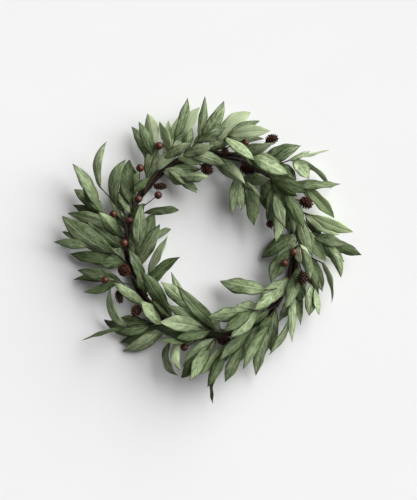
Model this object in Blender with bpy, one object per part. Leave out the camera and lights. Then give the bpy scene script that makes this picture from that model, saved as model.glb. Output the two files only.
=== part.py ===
"""A leaf wreath lying on a table, seen from above with +Y up the picture.

Three slender canes are wound round one another into a ring. Leafy sprays, berry
twigs and small cones are bound to its outside, front and inside with wire ties,
and all of them run clockwise. Lengths are in metres, angles in degrees, and the
origin is on the table under the middle of the whole wreath.
"""

import math
import random
from collections import namedtuple

import bmesh
import bpy
from mathutils import Matrix, Vector
from mathutils.bvhtree import BVHTree

# The ring of canes. The wreath was wound by hand, so the ring is a little taller than wide.
RING_CENTRE = Vector((0.0072, 0.0108, 0.0))
RING_RADIUS = 0.158
RING_OVAL = 0.006
CANE_COUNT = 3
CANE_RADIUS = 0.0034
CANE_ORBIT = 0.00435
CANE_TWISTS = 5
CANE_POINTS = 36
CANE_GAP = 12.0
FIRST_GAP = 30.0
FLAT_DEPTH = 0.0005
BUNDLE_HEIGHT = CANE_ORBIT + CANE_RADIUS - FLAT_DEPTH

# Wire ties sit where two canes share the underside, so that the wire stays off the table.
FIRST_TIE = 18
TIE_SPACING = 40
TIE_REACH = 0.0125
TIE_SIDES = 12
WIRE_RADIUS = 0.0005

# Sprays
STEM_RADIUS = 0.0015
STEM_TIP_RADIUS = 0.0009
STEM_POINTS = 5
FORK_AT = 0.16
LAST_LEAF_AT = 0.97
ROOT_SCATTER = 0.0002
THIN_LEAF = 8
LEAF_THICKNESS = 0.0012
PETIOLE_HALF_WIDTH = 0.0007
LEAF_FOLD = 0.10
RIDGE_SHARE = 0.6
LEAF_BASE = 0.8
BROAD_LEAF = 0.0095
BLUNT_TIP = 0.72
FINE_TIP = 0.95
LEAF_STATIONS = (0.0, 0.3, 0.55, 0.8)
ARC_STEPS = 20

# Berries and cones
BERRY_RADIUS = 0.0074
TWIG_RADIUS = 0.0009
CONE_STALK_RADIUS = 0.0012
CONE_ROWS = 5
CONE_SCALES = 7
SCALE_RELIEF = 0.2

# The picture of the wreath: the pixel at the middle of the ring, and the size of one
PICTURE_CENTRE = (212, 244)
PIXEL = 0.0018

# What stands between two pieces, and how high a leaf may reach
CLEARANCE = 0.0004
LEAF_FLOOR = 0.003
LEAF_CEILING = 0.090
LEAF_TRIES = 120
LEAF_SWAY = 0.008
SIGHT_TOP = 0.110

Stem = namedtuple("Stem", "x y rise leaves")
Spray = namedtuple("Spray", "root seat stems")
Twig = namedtuple("Twig", "root seat berries")
Cone = namedtuple("Cone", "root seat x y z bearing pitch length radius")

# Plan positions are read off the picture, in its pixels. Each spray leaves the ring at its root
# angle, seated that far round the canes (0 outside, 90 in front, 180 inside). A stem has the
# picture position and the height of its tip. A leaf has its share of the stem's length, the
# picture position of its tip and the width it shows there; a fifth number is how far it bends
# to its left on the way, in degrees. The first leaves of the sprays are placed first.
SPRAYS = (
    Spray(143, 50, (
        Stem(154, 142, 0.040, (
            (0.30, 156, 138, 14), (0.6, 131, 126, 12, 30), (0.75, 138, 122, 11, 20),
            (0.96, 147, 113, 14))),
    )),
    Spray(134, 50, (
        Stem(177, 136, 0.036, (
            (0.25, 184, 137, 13), (0.94, 201, 107, 16), (0.75, 184, 111, 12),
            (1.0, 187, 97, 11, 20), (0.6, 168, 119, 10), (0.5, 192, 142, 10), (0.7, 161, 121, 8, 10))),
    )),
    Spray(127, 95, (
        Stem(187, 150, 0.046, (
            (0.7, 208, 159, 14, -15), (1.0, 226, 166, 13, -15), (0.85, 213, 146, 11))),
        Stem(178, 178, 0.030, (
            (0.02, 191, 183, 16, -10), (0.1, 201, 169, 10), (0.42, 197, 190, 10), (1.0, 211, 177, 12),
            (0.85, 197, 193, 9))),
    )),
    Spray(117, 40, (
        Stem(202, 137, 0.034, (
            (0.92, 205, 96, 9, 10), (1.0, 224, 101, 13, 30),
            (0.75, 214, 124, 10), (0.5, 190, 121, 11), (0.85, 228, 126, 10))),
    )),
    Spray(103, 50, (
        Stem(232, 134, 0.042, (
            (0.88, 261, 166, 14), (0.95, 271, 131, 13), (0.68, 251, 112, 18, -35), (0.90, 260, 121, 11),
            (0.80, 262, 129, 12), (0.5, 232, 119, 11, -20), (0.4, 236, 140, 11), (0.7, 265, 138, 9))),
    )),
    Spray(95, 135, (
        Stem(250, 190, 0.026, (
            (0.08, 245, 184, 14, -25), (0.75, 232, 215, 9), (1.0, 254, 226, 11), (0.85, 241, 211, 10),
            (0.9, 259, 214, 11), (0.8, 262, 197, 9), (0.85, 268, 180, 13))),
    )),
    Spray(87, 85, (
        Stem(252, 155, 0.050, (
            (1.0, 288, 174, 16), (0.8, 270, 169, 12), (0.6, 284, 160, 12),
            (0.5, 276, 147, 13))),
    )),
    Spray(64, 40, (
        Stem(296, 158, 0.032, (
            (0.2, 299, 145, 12, -25), (0.5, 304, 143, 10, -15), (1.0, 329, 150, 3), (0.85, 311, 151, 6),
            (0.97, 309, 179, 14), (0.95, 333, 191, 5, -60), (0.7, 296, 180, 11))),
    )),
    Spray(58, 95, (
        Stem(285, 191, 0.048, (
            (0.45, 306, 193, 13), (0.5, 295, 212, 14), (0.97, 303, 229, 13), (0.35, 299, 182, 10),
            (0.9, 294, 235, 12), (0.6, 298, 199, 11))),
        Stem(277, 208, 0.028, (
            (0.8, 274, 245, 12, -15), (0.5, 271, 230, 11), (0.6, 283, 231, 12), (0.2, 268, 211, 13, 25),
            (0.9, 289, 231, 11))),
    )),
    Spray(46, 40, (
        Stem(306, 186, 0.030, (
            (0.82, 341, 184, 8), (1.0, 335, 218, 12, -15), (0.6, 322, 181, 9), (0.9, 321, 202, 9))),
    )),
    Spray(30, 45, (
        Stem(314, 216, 0.040, (
            (1.0, 353, 232, 12, 15), (0.45, 313, 256, 13, 15), (0.7, 340, 235, 13),
            (0.75, 322, 238, 12))),
    )),
    Spray(17, 50, (
        Stem(326, 240, 0.034, (
            (1.0, 362, 255, 12), (0.55, 345, 262, 16), (0.75, 346, 246, 12), (0.9, 341, 279, 11, -50),
            (0.35, 327, 262, 12))),
    )),
    Spray(10, 90, (
        Stem(302, 250, 0.050, (
            (0.7, 301, 270, 13), (0.15, 290, 250, 12), (1.0, 308, 284, 11))),
        Stem(287, 252, 0.030, (
            (0.2, 262, 258, 15, 30), (0.9, 271, 282, 16), (0.6, 272, 266, 12))),
    )),
    Spray(3, 40, (
        Stem(325, 264, 0.028, (
            (0.6, 323, 292, 12), (1.0, 332, 303, 5, -35), (0.4, 319, 297, 13))),
    )),
    Spray(351, 55, (
        Stem(317, 289, 0.036, (
            (0.85, 309, 316, 12), (1.0, 319, 315, 7), (0.5, 301, 303, 12), (0.3, 286, 309, 13))),
        Stem(294, 313, 0.030, (
            (1.0, 269, 355, 7, -20), (0.7, 292, 342, 9), (0.4, 302, 326, 9),
            (0.7, 279, 322, 10))),
    )),
    Spray(337, 95, (
        Stem(264, 290, 0.046, (
            (1.0, 220, 281, 16, -10), (0.05, 258, 303, 18), (0.5, 254, 310, 12))),
    )),
    Spray(322, 70, (
        Stem(268, 334, 0.034, (
            (0.75, 262, 358, 11), (1.0, 256, 376, 11, 20), (0.8, 243, 369, 11, 20),
            (0.35, 271, 352, 13), (0.6, 258, 333, 10))),
        Stem(248, 309, 0.050, (
            (0.95, 207, 317, 14), (0.4, 244, 323, 13), (0.8, 230, 337, 13), (1.0, 222, 331, 12),
            (0.6, 236, 305, 12))),
    )),
    Spray(305, 45, (
        Stem(242, 348, 0.038, (
            (0.9, 225, 382, 12, 10), (0.4, 219, 360, 13), (0.2, 240, 362, 12))),
    )),
    Spray(292, 40, (
        Stem(217, 366, 0.030, (
            (1.0, 213, 404, 5, 40), (0.7, 206, 387, 11), (0.3, 214, 366, 12),
            (0.5, 198, 376, 11))),
    )),
    Spray(283, 95, (
        Stem(199, 326, 0.050, (
            (0.9, 160, 322, 16), (0.25, 198, 331, 13), (0.7, 176, 338, 13), (0.4, 210, 314, 11))),
        Stem(190, 309, 0.028, (
            (0.15, 177, 285, 14, -12), (0.8, 171, 272, 10, -20), (1.0, 161, 282, 14),
            (0.4, 166, 304, 13))),
    )),
    Spray(276, 50, (
        Stem(207, 350, 0.040, (
            (0.3, 183, 367, 17), (1.0, 181, 378, 14), (0.75, 190, 381, 14))),
        Stem(168, 342, 0.034, (
            (0.97, 178, 375, 8, 105), (0.3, 153, 328, 12), (0.8, 184, 372, 9, 80), (0.55, 158, 340, 8))),
    )),
    Spray(250, 120, (
        Stem(165, 305, 0.030, (
            (0.8, 142, 272, 15), (0.5, 150, 290, 13))),
    )),
    Spray(246, 50, (
        Stem(118, 329, 0.032, (
            (0.5, 103, 320, 16, -60), (0.3, 142, 301, 14), (1.0, 81, 341, 4), (0.2, 122, 352, 14, -30),
            (0.5, 118, 317, 13), (0.3, 119, 342, 12, -20),
            (0.88, 112, 286, 9, -80))),
    )),
    Spray(229, 55, (
        Stem(117, 278, 0.022, (
            (0.25, 111, 281, 11), (0.9, 77, 271, 14, 25), (0.95, 70, 284, 7, 40),
            (1.0, 83, 292, 9, -35))),
    )),
    Spray(219, 140, (
        Stem(149, 272, 0.030, (
            (0.95, 168, 236, 9, -5), (0.2, 180, 257, 12, -50), (0.35, 128, 246, 11),
            (0.3, 136, 277, 9))),
    )),
    Spray(203, 130, (
        Stem(144, 240, 0.036, (
            (0.5, 154, 211, 17), (0.25, 160, 224, 15), (0.6, 131, 232, 11), (0.8, 141, 203, 14),
            (0.97, 171, 230, 7, -15))),
    )),
    Spray(196, 45, (
        Stem(85, 247, 0.036, (
            (0.5, 62, 216, 20, -20), (0.3, 69, 254, 13), (0.2, 97, 262, 13), (1.0, 54, 242, 10, 15),
            (0.85, 60, 232, 6), (0.15, 100, 236, 13))),
    )),
    Spray(185, 50, (
        Stem(97, 208, 0.034, (
            (0.6, 67, 213, 13), (0.85, 73, 189, 13), (1.0, 73, 164, 12, 25), (0.1, 86, 220, 15),
            (0.7, 71, 204, 12), (0.9, 82, 186, 11), (0.35, 98, 210, 13))),
    )),
    Spray(176, 60, (
        Stem(99, 186, 0.046, (
            (0.97, 107, 142, 9, -60), (0.65, 126, 160, 12, -60), (0.4, 111, 187, 12),
            (0.2, 118, 205, 11))),
    )),
    Spray(167, 80, (
        Stem(134, 182, 0.050, (
            (0.5, 130, 156, 19, -15), (1.0, 142, 165, 11), (0.3, 120, 186, 12), (0.8, 150, 178, 9))),
        Stem(150, 214, 0.030, (
            (0.8, 179, 210, 8, -20), (0.15, 144, 204, 10))),
    )),
)

# Berries, as picture position and height
TWIGS = (
    Twig(165, 120, ((135, 199, 0.040), (158, 195, 0.030))),
    Twig(178, 100, ((129, 221, 0.042), (113, 214, 0.032))),
    Twig(190, 110, ((124, 243, 0.044),)),
    Twig(208, 60, ((105, 280, 0.040),)),
    Twig(264, 20, ((184, 346, 0.030),)),
    Twig(352, 120, ((293, 252, 0.052), (284, 263, 0.044))),
    Twig(24, 150, ((270, 224, 0.030),)),
    Twig(140, 60, ((159, 146, 0.046), (140, 168, 0.036))),
    Twig(93, 70, ((245, 143, 0.046), (225, 151, 0.044))),
)

# Cones, placed by the middle of the cone in the same way
CONES = (
    Cone(204, 80, 124, 270, 0.046, 100, 65, 0.026, 0.0120),
    Cone(214, 20, 119, 297, 0.024, 285, 10, 0.028, 0.0085),
    Cone(224, 40, 136, 311, 0.038, 250, 30, 0.025, 0.0105),
    Cone(104, 120, 207, 169, 0.036, 325, 35, 0.028, 0.0115),
    Cone(72, 100, 248, 169, 0.028, 340, 10, 0.032, 0.0115),
    Cone(64, 40, 272, 139, 0.028, 20, 15, 0.027, 0.0105),
    Cone(30, 60, 306, 203, 0.048, 335, 25, 0.029, 0.0120),
    Cone(350, 70, 302, 278, 0.046, 265, 30, 0.029, 0.0110),
    Cone(134, 160, 160, 186, 0.022, 0, 5, 0.027, 0.0080),
    Cone(272, 40, 221, 335, 0.024, 355, 8, 0.028, 0.0100),
)

LEAF_GREEN = (0.20, 0.29, 0.13, 1.0)
CANE_BROWN = (0.045, 0.022, 0.014, 1.0)
BERRY_RED = (0.23, 0.055, 0.032, 1.0)
CONE_BROWN = (0.075, 0.020, 0.014, 1.0)
WIRE_BROWN = (0.03, 0.022, 0.016, 1.0)


def clear_scene():
    for obj in list(bpy.data.objects):
        bpy.data.objects.remove(obj, do_unlink=True)


def finish(objects, colour, roughness, metallic=0.0):
    """Gives each object a plain Principled material of its own."""
    for obj in objects:
        material = bpy.data.materials.new(f"{obj.name}_finish")
        material.use_nodes = True
        shader = material.node_tree.nodes["Principled BSDF"]
        shader.inputs["Base Color"].default_value = colour
        shader.inputs["Roughness"].default_value = roughness
        shader.inputs["Metallic"].default_value = metallic
        obj.data.materials.clear()
        obj.data.materials.append(material)


def place(obj, point):
    """Moves the object's own origin to where it meets the ring, and hangs it on the middle."""
    obj.data.transform(Matrix.Translation(-point))
    obj.location = point
    obj.parent = middle


def heading_vector(bearing, elevation=0.0):
    b, e = math.radians(bearing), math.radians(elevation)
    return Vector((math.cos(e) * math.cos(b), math.cos(e) * math.sin(b), math.sin(e)))


def ring_point(angle, out=0.0, up=0.0):
    """A point beside the ring's centreline at that angle round it."""
    radius = RING_RADIUS - RING_OVAL * math.cos(math.radians(2 * angle))
    at = RING_CENTRE + heading_vector(angle) * (radius + out)
    return at + Vector((0.0, 0.0, BUNDLE_HEIGHT + up))


def seat_point(angle, seat, distance):
    """A point that far from the ring's centreline, on the seat's side of the canes."""
    s = math.radians(seat)
    return ring_point(angle, distance * math.cos(s), distance * math.sin(s))


def picture_point(x, y, z):
    """A point from its place in the picture and its height."""
    right, up = x - PICTURE_CENTRE[0], PICTURE_CENTRE[1] - y
    return RING_CENTRE + Vector((right * PIXEL, up * PIXEL, z))


# Shapes for the clearance tests: (lowest corner, highest corner, tree of faces)


def solid_shape(points, faces):
    lo = [min(p[i] for p in points) for i in range(3)]
    hi = [max(p[i] for p in points) for i in range(3)]
    return lo, hi, BVHTree.FromPolygons([tuple(p) for p in points], faces)


def mesh_shape(obj):
    points = [obj.location + v.co for v in obj.data.vertices]
    return solid_shape(points, [tuple(p.vertices) for p in obj.data.polygons])


def clear_of(shape, others):
    lo, hi, tree = shape
    for other_lo, other_hi, other_tree in others:
        if all(lo[i] < other_hi[i] and other_lo[i] < hi[i] for i in range(3)):
            if tree.overlap(other_tree):
                return False
    return True


def loft_faces(rings, sides, pointed=False):
    """Triangles round a run of rings of points, with flat ends or a pointed far end."""
    faces = []
    for r in range(rings - 1):
        for s in range(sides):
            a, b = r * sides + s, r * sides + (s + 1) % sides
            # Both triangles of a face share the diagonal that runs from its nearer left corner.
            faces += [(a, b, b + sides), (a, b + sides, a + sides)]
    faces += [(0, s + 1, s) for s in range(1, sides - 1)]
    last = (rings - 1) * sides
    if pointed:
        faces += [(last + s, last + (s + 1) % sides, last + sides) for s in range(sides)]
    else:
        faces += [(last, last + s, last + s + 1) for s in range(1, sides - 1)]
    return faces


def sleeve(points, radius, sides=6):
    """A tube round a line of points, for clearance tests."""
    corners = []
    for i, p in enumerate(points):
        along = (points[min(i + 1, len(points) - 1)] - points[max(i - 1, 0)]).normalized()
        across = along.cross(Vector((0.0, 0.0, 1.0)))
        if across.length < 0.05:
            across = along.cross(Vector((1.0, 0.0, 0.0)))
        across.normalize()
        other = across.cross(along)
        for s in range(sides):
            turn = 2 * math.pi * s / sides
            corners.append(p + (across * math.cos(turn) + other * math.sin(turn)) * radius)
    return solid_shape(corners, loft_faces(len(points), sides))


def tube(name, points, radii, resolution=1, closed=False):
    """A mesh object swept along a line of points."""
    curve = bpy.data.curves.new(name, "CURVE")
    curve.dimensions = "3D"
    curve.bevel_depth = 1.0
    curve.bevel_resolution = resolution
    curve.use_fill_caps = not closed
    spline = curve.splines.new("POLY")
    spline.points.add(len(points) - 1)
    for knot, p, r in zip(spline.points, points, radii):
        knot.co = (*p, 1.0)
        knot.radius = r
    spline.use_cyclic_u = closed
    guide = bpy.data.objects.new(name + "_line", curve)
    bpy.context.collection.objects.link(guide)
    graph = bpy.context.evaluated_depsgraph_get()
    mesh = bpy.data.meshes.new_from_object(guide.evaluated_get(graph))
    bpy.data.objects.remove(guide)
    bpy.data.curves.remove(curve)
    bm = bmesh.new()
    bm.from_mesh(mesh)
    bmesh.ops.remove_doubles(bm, verts=bm.verts, dist=1e-6)
    # A union takes flat faces well, and the quads of a bent tube aren't flat.
    bmesh.ops.triangulate(bm, faces=bm.faces)
    bm.to_mesh(mesh)
    bm.free()
    mesh.name = name
    return link_mesh(name, mesh)


def link_mesh(name, mesh):
    obj = bpy.data.objects.new(name, mesh)
    wreath.objects.link(obj)
    return obj


def keep_outer_skin(mesh):
    """Drops the sealed hollows and loose scraps that a union of thin blades leaves."""
    bm = bmesh.new()
    bm.from_mesh(mesh)
    left = set(bm.faces)
    skins = []
    while left:
        skin = {left.pop()}
        rim = list(skin)
        while rim:
            near = {f for face in rim for e in face.edges for f in e.link_faces} - skin
            skin |= near
            rim = list(near)
        left -= skin
        skins.append(skin)
    outer = max(skins, key=len)
    bmesh.ops.delete(bm, geom=[f for f in bm.faces if f not in outer], context="FACES")
    bm.to_mesh(mesh)
    bm.free()


def joined(base, extras):
    """base with the extras fused to it by one Boolean union."""
    if not extras:
        return base
    pieces = bpy.data.collections.new("pieces")
    bpy.context.scene.collection.children.link(pieces)
    for extra in extras:
        wreath.objects.unlink(extra)
        pieces.objects.link(extra)
    union = base.modifiers.new("union", "BOOLEAN")
    union.operation = "UNION"
    union.solver = "MANIFOLD"
    union.operand_type = "COLLECTION"
    union.collection = pieces
    graph = bpy.context.evaluated_depsgraph_get()
    mesh = bpy.data.meshes.new_from_object(base.evaluated_get(graph))
    base.modifiers.remove(union)
    base.data = mesh
    keep_outer_skin(mesh)
    for extra in extras:
        bpy.data.objects.remove(extra)
    bpy.data.collections.remove(pieces)
    return base


# The ring


def cane_phase(cane, angle):
    return 360.0 / CANE_COUNT * cane + CANE_TWISTS * angle


def cane_centre(cane, angle):
    return seat_point(angle, cane_phase(cane, angle), CANE_ORBIT)


def build_cane(cane):
    """One cane: most of a turn round the ring, flat where it rests on the table."""
    start = FIRST_GAP + cane * 360.0 / CANE_COUNT + CANE_GAP / 2
    step = (360.0 - CANE_GAP) / (CANE_POINTS - 1)
    points = [cane_centre(cane, start + i * step) for i in range(CANE_POINTS)]
    obj = tube(f"cane_{cane + 1}", points, [CANE_RADIUS] * CANE_POINTS)
    bm = bmesh.new()
    bm.from_mesh(obj.data)
    whole = list(bm.verts) + list(bm.edges) + list(bm.faces)
    below = {"plane_co": (0, 0, 0), "plane_no": (0, 0, -1)}
    bmesh.ops.bisect_plane(bm, geom=whole, dist=1e-7, clear_outer=True, **below)
    bmesh.ops.holes_fill(bm, edges=[e for e in bm.edges if e.is_boundary])
    bmesh.ops.recalc_face_normals(bm, faces=bm.faces)
    bm.to_mesh(obj.data)
    bm.free()
    place(obj, RING_CENTRE)
    return obj


def tie_corners(angle, spray_lines):
    """The corners of a wire loop drawn tight round the canes and the stems beside them."""
    circles = []
    for cane in range(CANE_COUNT):
        phase = math.radians(cane_phase(cane, angle))
        circles.append((CANE_ORBIT * math.cos(phase), CANE_ORBIT * math.sin(phase), CANE_RADIUS))
    along = heading_vector(angle + 90)
    centre = ring_point(angle)
    outward = heading_vector(angle)
    for points in (line for lines in spray_lines for line in lines):
        for p, q in zip(points, points[1:]):
            before, after = (p - centre).dot(along), (q - centre).dot(along)
            if before * after > 0 or before == after:
                continue
            at = p.lerp(q, before / (before - after)) - centre
            if math.hypot(at.dot(outward), at.z) < TIE_REACH:
                circles.append((at.dot(outward), at.z, STEM_RADIUS * 1.3))
    reach = []
    for i in range(TIE_SIDES):
        turn = 2 * math.pi * i / TIE_SIDES
        furthest = max(x * math.cos(turn) + z * math.sin(turn) + r for x, z, r in circles)
        reach.append(furthest + CLEARANCE + WIRE_RADIUS)
    corners = []
    for i in range(TIE_SIDES):
        a = 2 * math.pi * i / TIE_SIDES
        b = 2 * math.pi * (i + 1) / TIE_SIDES
        first, second = reach[i], reach[(i + 1) % TIE_SIDES]
        x = (first * math.sin(b) - second * math.sin(a)) / math.sin(b - a)
        z = (second * math.cos(a) - first * math.cos(b)) / math.sin(b - a)
        corners.append(centre + outward * x + Vector((0.0, 0.0, z)))
    return corners


# Stems


def stem_points(root, start, stem, rise):
    """The line of a stem: along the ring where it is bound, then off to its tip."""
    end = picture_point(stem.x, stem.y, rise)
    turn_off = start + heading_vector(root - 90) * (end - start).length * 0.42
    turn_off.z = start.z + (rise - start.z) * 0.3
    points = []
    for i in range(STEM_POINTS):
        t = i / (STEM_POINTS - 1)
        points.append(start * (1 - t) ** 2 + turn_off * 2 * t * (1 - t) + end * t * t)
    return points


def snug_seat(root, seat, make_shapes, canes):
    """The start nearest to the canes from which the shapes made there are clear of them."""
    distance = CANE_ORBIT
    while distance < CANE_ORBIT + 3 * CANE_RADIUS:
        start = seat_point(root, seat, distance)
        shapes = make_shapes(start)
        if all(clear_of(shape, canes) for shape in shapes):
            return start, shapes
        distance += 0.0003
    return None, None


def bound_stems(spray, canes, others):
    """The lines of a spray's stems, moved about the canes or raised until all are clear."""
    for lift in (0.0, 0.005, -0.005, 0.010, -0.010, 0.016, 0.022):
        for shift in (0, 12, -12, 24, -24, 36, -36, 50, -50, 64, -64):
            for step in (0, 1.5, -1.5, 3, -3):
                root, seat = spray.root + step, spray.seat + shift
                if not 5 <= seat <= 175:
                    continue

                def lines_from(start):
                    lines = []
                    for stem in spray.stems:
                        fork = along_line(lines[0], FORK_AT) if lines else start
                        lines.append(stem_points(root, fork, stem, max(0.014, stem.rise + lift)))
                    return lines

                start, shapes = snug_seat(
                    root,
                    seat,
                    lambda start: [sleeve(line, STEM_RADIUS + CLEARANCE) for line in lines_from(start)],
                    canes,
                )
                if start and all(clear_of(shape, others) for shape in shapes):
                    return lines_from(start)
    raise ValueError(f"no room for the spray at {spray.root} degrees")


def along_line(points, t):
    """The point at share t of a line of points."""
    span = t * (len(points) - 1)
    i = min(int(span), len(points) - 2)
    return points[i].lerp(points[i + 1], span - i)


# Leaves

Leaf = namedtuple("Leaf", "root bearing lift droop curl roll length half_width")


def outline(s, half_width):
    """A leaf's half-width at share s of its length, as a share of its widest. Broad leaves are blunter."""
    tip = BLUNT_TIP if half_width > BROAD_LEAF else FINE_TIP
    peak = LEAF_BASE / (LEAF_BASE + tip)
    return (s / peak) ** LEAF_BASE * ((1 - s) / (1 - peak)) ** tip


def midrib(leaf):
    """Points and (left, up) pairs along the midrib, an arc that droops, curls and rolls."""
    points, sides = [leaf.root.copy()], []
    step = leaf.length / ARC_STEPS
    roll = math.radians(leaf.roll)
    c, n = math.cos(roll), math.sin(roll)
    for i in range(ARC_STEPS + 1):
        s = i / ARC_STEPS
        bearing = leaf.bearing + leaf.curl * (s - 0.4)
        elevation = leaf.lift - leaf.droop * s
        forward = heading_vector(bearing, elevation)
        left = heading_vector(bearing + 90)
        up = forward.cross(left)
        sides.append((left * c + up * n, up * c - left * n))
        if i < ARC_STEPS:
            middle = heading_vector(
                leaf.bearing + leaf.curl * (s + 0.5 / ARC_STEPS - 0.4),
                leaf.lift - leaf.droop * (s + 0.5 / ARC_STEPS),
            )
            points.append(points[-1] + middle * step)
    return points, sides


def leaf_solid(leaf, spread=0.0):
    """Points and faces of a blade with a raised midrib, or of one grown all round by spread."""
    points, sides = midrib(leaf)
    corners = []
    for s in LEAF_STATIONS:
        i = round(s * ARC_STEPS)
        left, up = sides[i]
        width = PETIOLE_HALF_WIDTH
        if s:
            width = max(width, leaf.half_width * outline(s, leaf.half_width))
        ridge = LEAF_THICKNESS * RIDGE_SHARE + LEAF_FOLD * width + spread
        edge = -LEAF_THICKNESS * (1 - RIDGE_SHARE) - spread
        corners += [
            points[i] + left * (width + spread) + up * edge,
            points[i] + up * ridge,
            points[i] - left * (width + spread) + up * edge,
        ]
    corners.append(points[-1] + (points[-1] - points[-2]).normalized() * spread)
    return corners, loft_faces(len(LEAF_STATIONS), 3, pointed=True)


def leaf_shape(leaf, skip_root=False):
    """The grown blade for clearance tests, without the part that grows from its stem."""
    corners, _ = leaf_solid(leaf, spread=2 * CLEARANCE)
    skip = 1 if skip_root else 0
    return solid_shape(corners[3 * skip:], loft_faces(len(LEAF_STATIONS) - skip, 3, pointed=True))


def leaf_draft(draw, root, tip_x, tip_y, width, curl=None):
    """A leaf from its root on the stem to over its tip in the picture, as wide as it shows there."""
    roll = draw.uniform(-28, 28) if width > THIN_LEAF else draw.choice((-1, 1)) * draw.uniform(45, 62)
    curl = draw.uniform(-16, 16) if curl is None else curl
    half_width = width * PIXEL / 2 / math.cos(math.radians(roll))
    leaf = Leaf(
        root=root,
        bearing=0.0,
        lift=draw.uniform(8, 34),
        droop=draw.uniform(10, 50),
        curl=curl,
        roll=roll,
        length=1.0,
        half_width=half_width,
    )
    return reaching(leaf, picture_point(tip_x, tip_y, 0.0))


def reaching(leaf, tip):
    """The leaf turned and scaled so that its tip comes over that point of the plan."""
    points, _ = midrib(leaf)
    chord = points[-1] - leaf.root
    wanted = tip - leaf.root
    turn = math.atan2(wanted.y, wanted.x) - math.atan2(chord.y, chord.x)
    scale = math.hypot(wanted.x, wanted.y) / math.hypot(chord.x, chord.y)
    return leaf._replace(bearing=leaf.bearing + math.degrees(turn), length=leaf.length * scale)


def settled_leaf(draw, draft, own, others):
    """The draft, or the first leaf tried near it that is clear of all others, or None."""
    tip = midrib(draft)[0][-1]
    for attempt in range(LEAF_TRIES):
        ease = attempt / LEAF_TRIES
        leaf = draft._replace(
            lift=draft.lift + ease * draw.uniform(-55, 45),
            droop=draft.droop + ease * draw.uniform(-50, 40),
            curl=draft.curl + ease * draw.uniform(-25, 25),
            roll=draft.roll + ease * draw.uniform(-40, 40),
        )
        aim = draft.root.lerp(tip, 1 - 0.2 * ease * draw.random())
        sway = ease * LEAF_SWAY
        aim += Vector((draw.uniform(-sway, sway), draw.uniform(-sway, sway), 0.0))
        leaf = reaching(leaf, aim)
        blade = leaf_shape(leaf, skip_root=True)
        if blade[0][2] < LEAF_FLOOR or blade[1][2] > LEAF_CEILING:
            continue
        if clear_of(blade, own) and clear_of(leaf_shape(leaf), others):
            return leaf
    return None


def settled_leaves(spray_lines, others):
    """The settled leaves of each spray, placed in turn: the first leaf of each, then the second..."""
    stems = [[sleeve(line, STEM_RADIUS + CLEARANCE) for line in lines] for lines in spray_lines]
    wanted = [[(line, leaf) for stem, line in zip(spray.stems, lines) for leaf in stem.leaves]
              for spray, lines in zip(SPRAYS, spray_lines)]
    draws = [random.Random(number) for number in range(len(SPRAYS))]
    settled = [[] for _ in SPRAYS]
    blades = [[] for _ in SPRAYS]
    whole = [list(group) for group in stems]
    for turn in range(max(len(group) for group in wanted)):
        for i, group in enumerate(wanted):
            if turn >= len(group):
                continue
            line, (share, *reading) = group[turn]
            root = along_line(line, min(share, LAST_LEAF_AT) - draws[i].uniform(0.0, 0.04))
            root += Vector([draws[i].uniform(-ROOT_SCATTER, ROOT_SCATTER) for _ in range(3)])
            foreign = others + [shape for j, shapes in enumerate(whole) if j != i for shape in shapes]
            leaf = settled_leaf(draws[i], leaf_draft(draws[i], root, *reading), blades[i], foreign)
            if leaf:
                settled[i].append(leaf)
                blades[i].append(leaf_shape(leaf, skip_root=True))
                whole[i].append(leaf_shape(leaf))
    return settled


def build_leaf(name, leaf):
    points, faces = leaf_solid(leaf)
    mesh = bpy.data.meshes.new(name)
    mesh.from_pydata([tuple(p) for p in points], [], faces)
    return link_mesh(name, mesh)


def build_spray(number, lines, leaves):
    """One leafy spray: its stems and leaves fused into one body."""
    name = f"leafy_spray_{number:02d}"
    radii = [
        STEM_RADIUS + (STEM_TIP_RADIUS - STEM_RADIUS) * i / (STEM_POINTS - 1)
        for i in range(STEM_POINTS)
    ]
    stems = [tube(f"{name}_stem_{i}", line, radii, resolution=0) for i, line in enumerate(lines)]
    blades = [build_leaf(f"{name}_leaf_{i}", leaf) for i, leaf in enumerate(leaves)]
    spray = joined(stems[0], stems[1:] + blades)
    spray.name = name
    return spray


# Berries and cones


def twig_line(start, end, arch):
    """A thin stalk from the canes that arches up to what it carries."""
    middle = start.lerp(end, 0.5) + Vector((0.0, 0.0, arch * (end - start).length))
    return [
        start * (1 - t) ** 2 + middle * 2 * t * (1 - t) + end * t * t
        for t in (0.0, 0.25, 0.5, 0.75, 1.0)
    ]


def ball(centre, radius):
    bm = bmesh.new()
    bmesh.ops.create_icosphere(bm, subdivisions=2, radius=radius)
    bmesh.ops.translate(bm, verts=bm.verts, vec=centre)
    mesh = bpy.data.meshes.new("berry")
    bm.to_mesh(mesh)
    bm.free()
    return link_mesh("berry", mesh)


def settled_head(make_shape, others):
    """The least offset at which a berry or cone is clear of all others."""
    steps = (0.0, 0.003, -0.003, 0.006, -0.006, 0.010, -0.010)
    offsets = [Vector((dx, dy, dz)) for dx in steps for dy in steps for dz in (*steps, 0.015, 0.020)]
    for offset in sorted(offsets, key=lambda o: o.length):
        shape = make_shape(offset)
        if shape[0][2] >= LEAF_FLOOR and clear_of(shape, others):
            return offset, shape
    raise ValueError("no room for a berry or cone")


def sight_column(centre, radius):
    """What leaves keep out of, so that a berry or cone shows from the front."""
    top = Vector((centre.x, centre.y, SIGHT_TOP))
    return sleeve([centre, top], radius)


def cone_centreline(cone, offset):
    centre = picture_point(cone.x, cone.y, cone.z) + offset
    axis = heading_vector(cone.bearing, cone.pitch)
    return centre - axis * cone.length / 2, axis


def cone_shape(cone, offset):
    base, axis = cone_centreline(cone, offset)
    return sleeve([base, base + axis * cone.length], cone.radius * 1.15)


def berry_shape(berry, offset):
    centre = picture_point(*berry) + offset
    pole = Vector((0.0, 0.0, BERRY_RADIUS))
    return sleeve([centre - pole, centre + pole], BERRY_RADIUS * 1.1)


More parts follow.
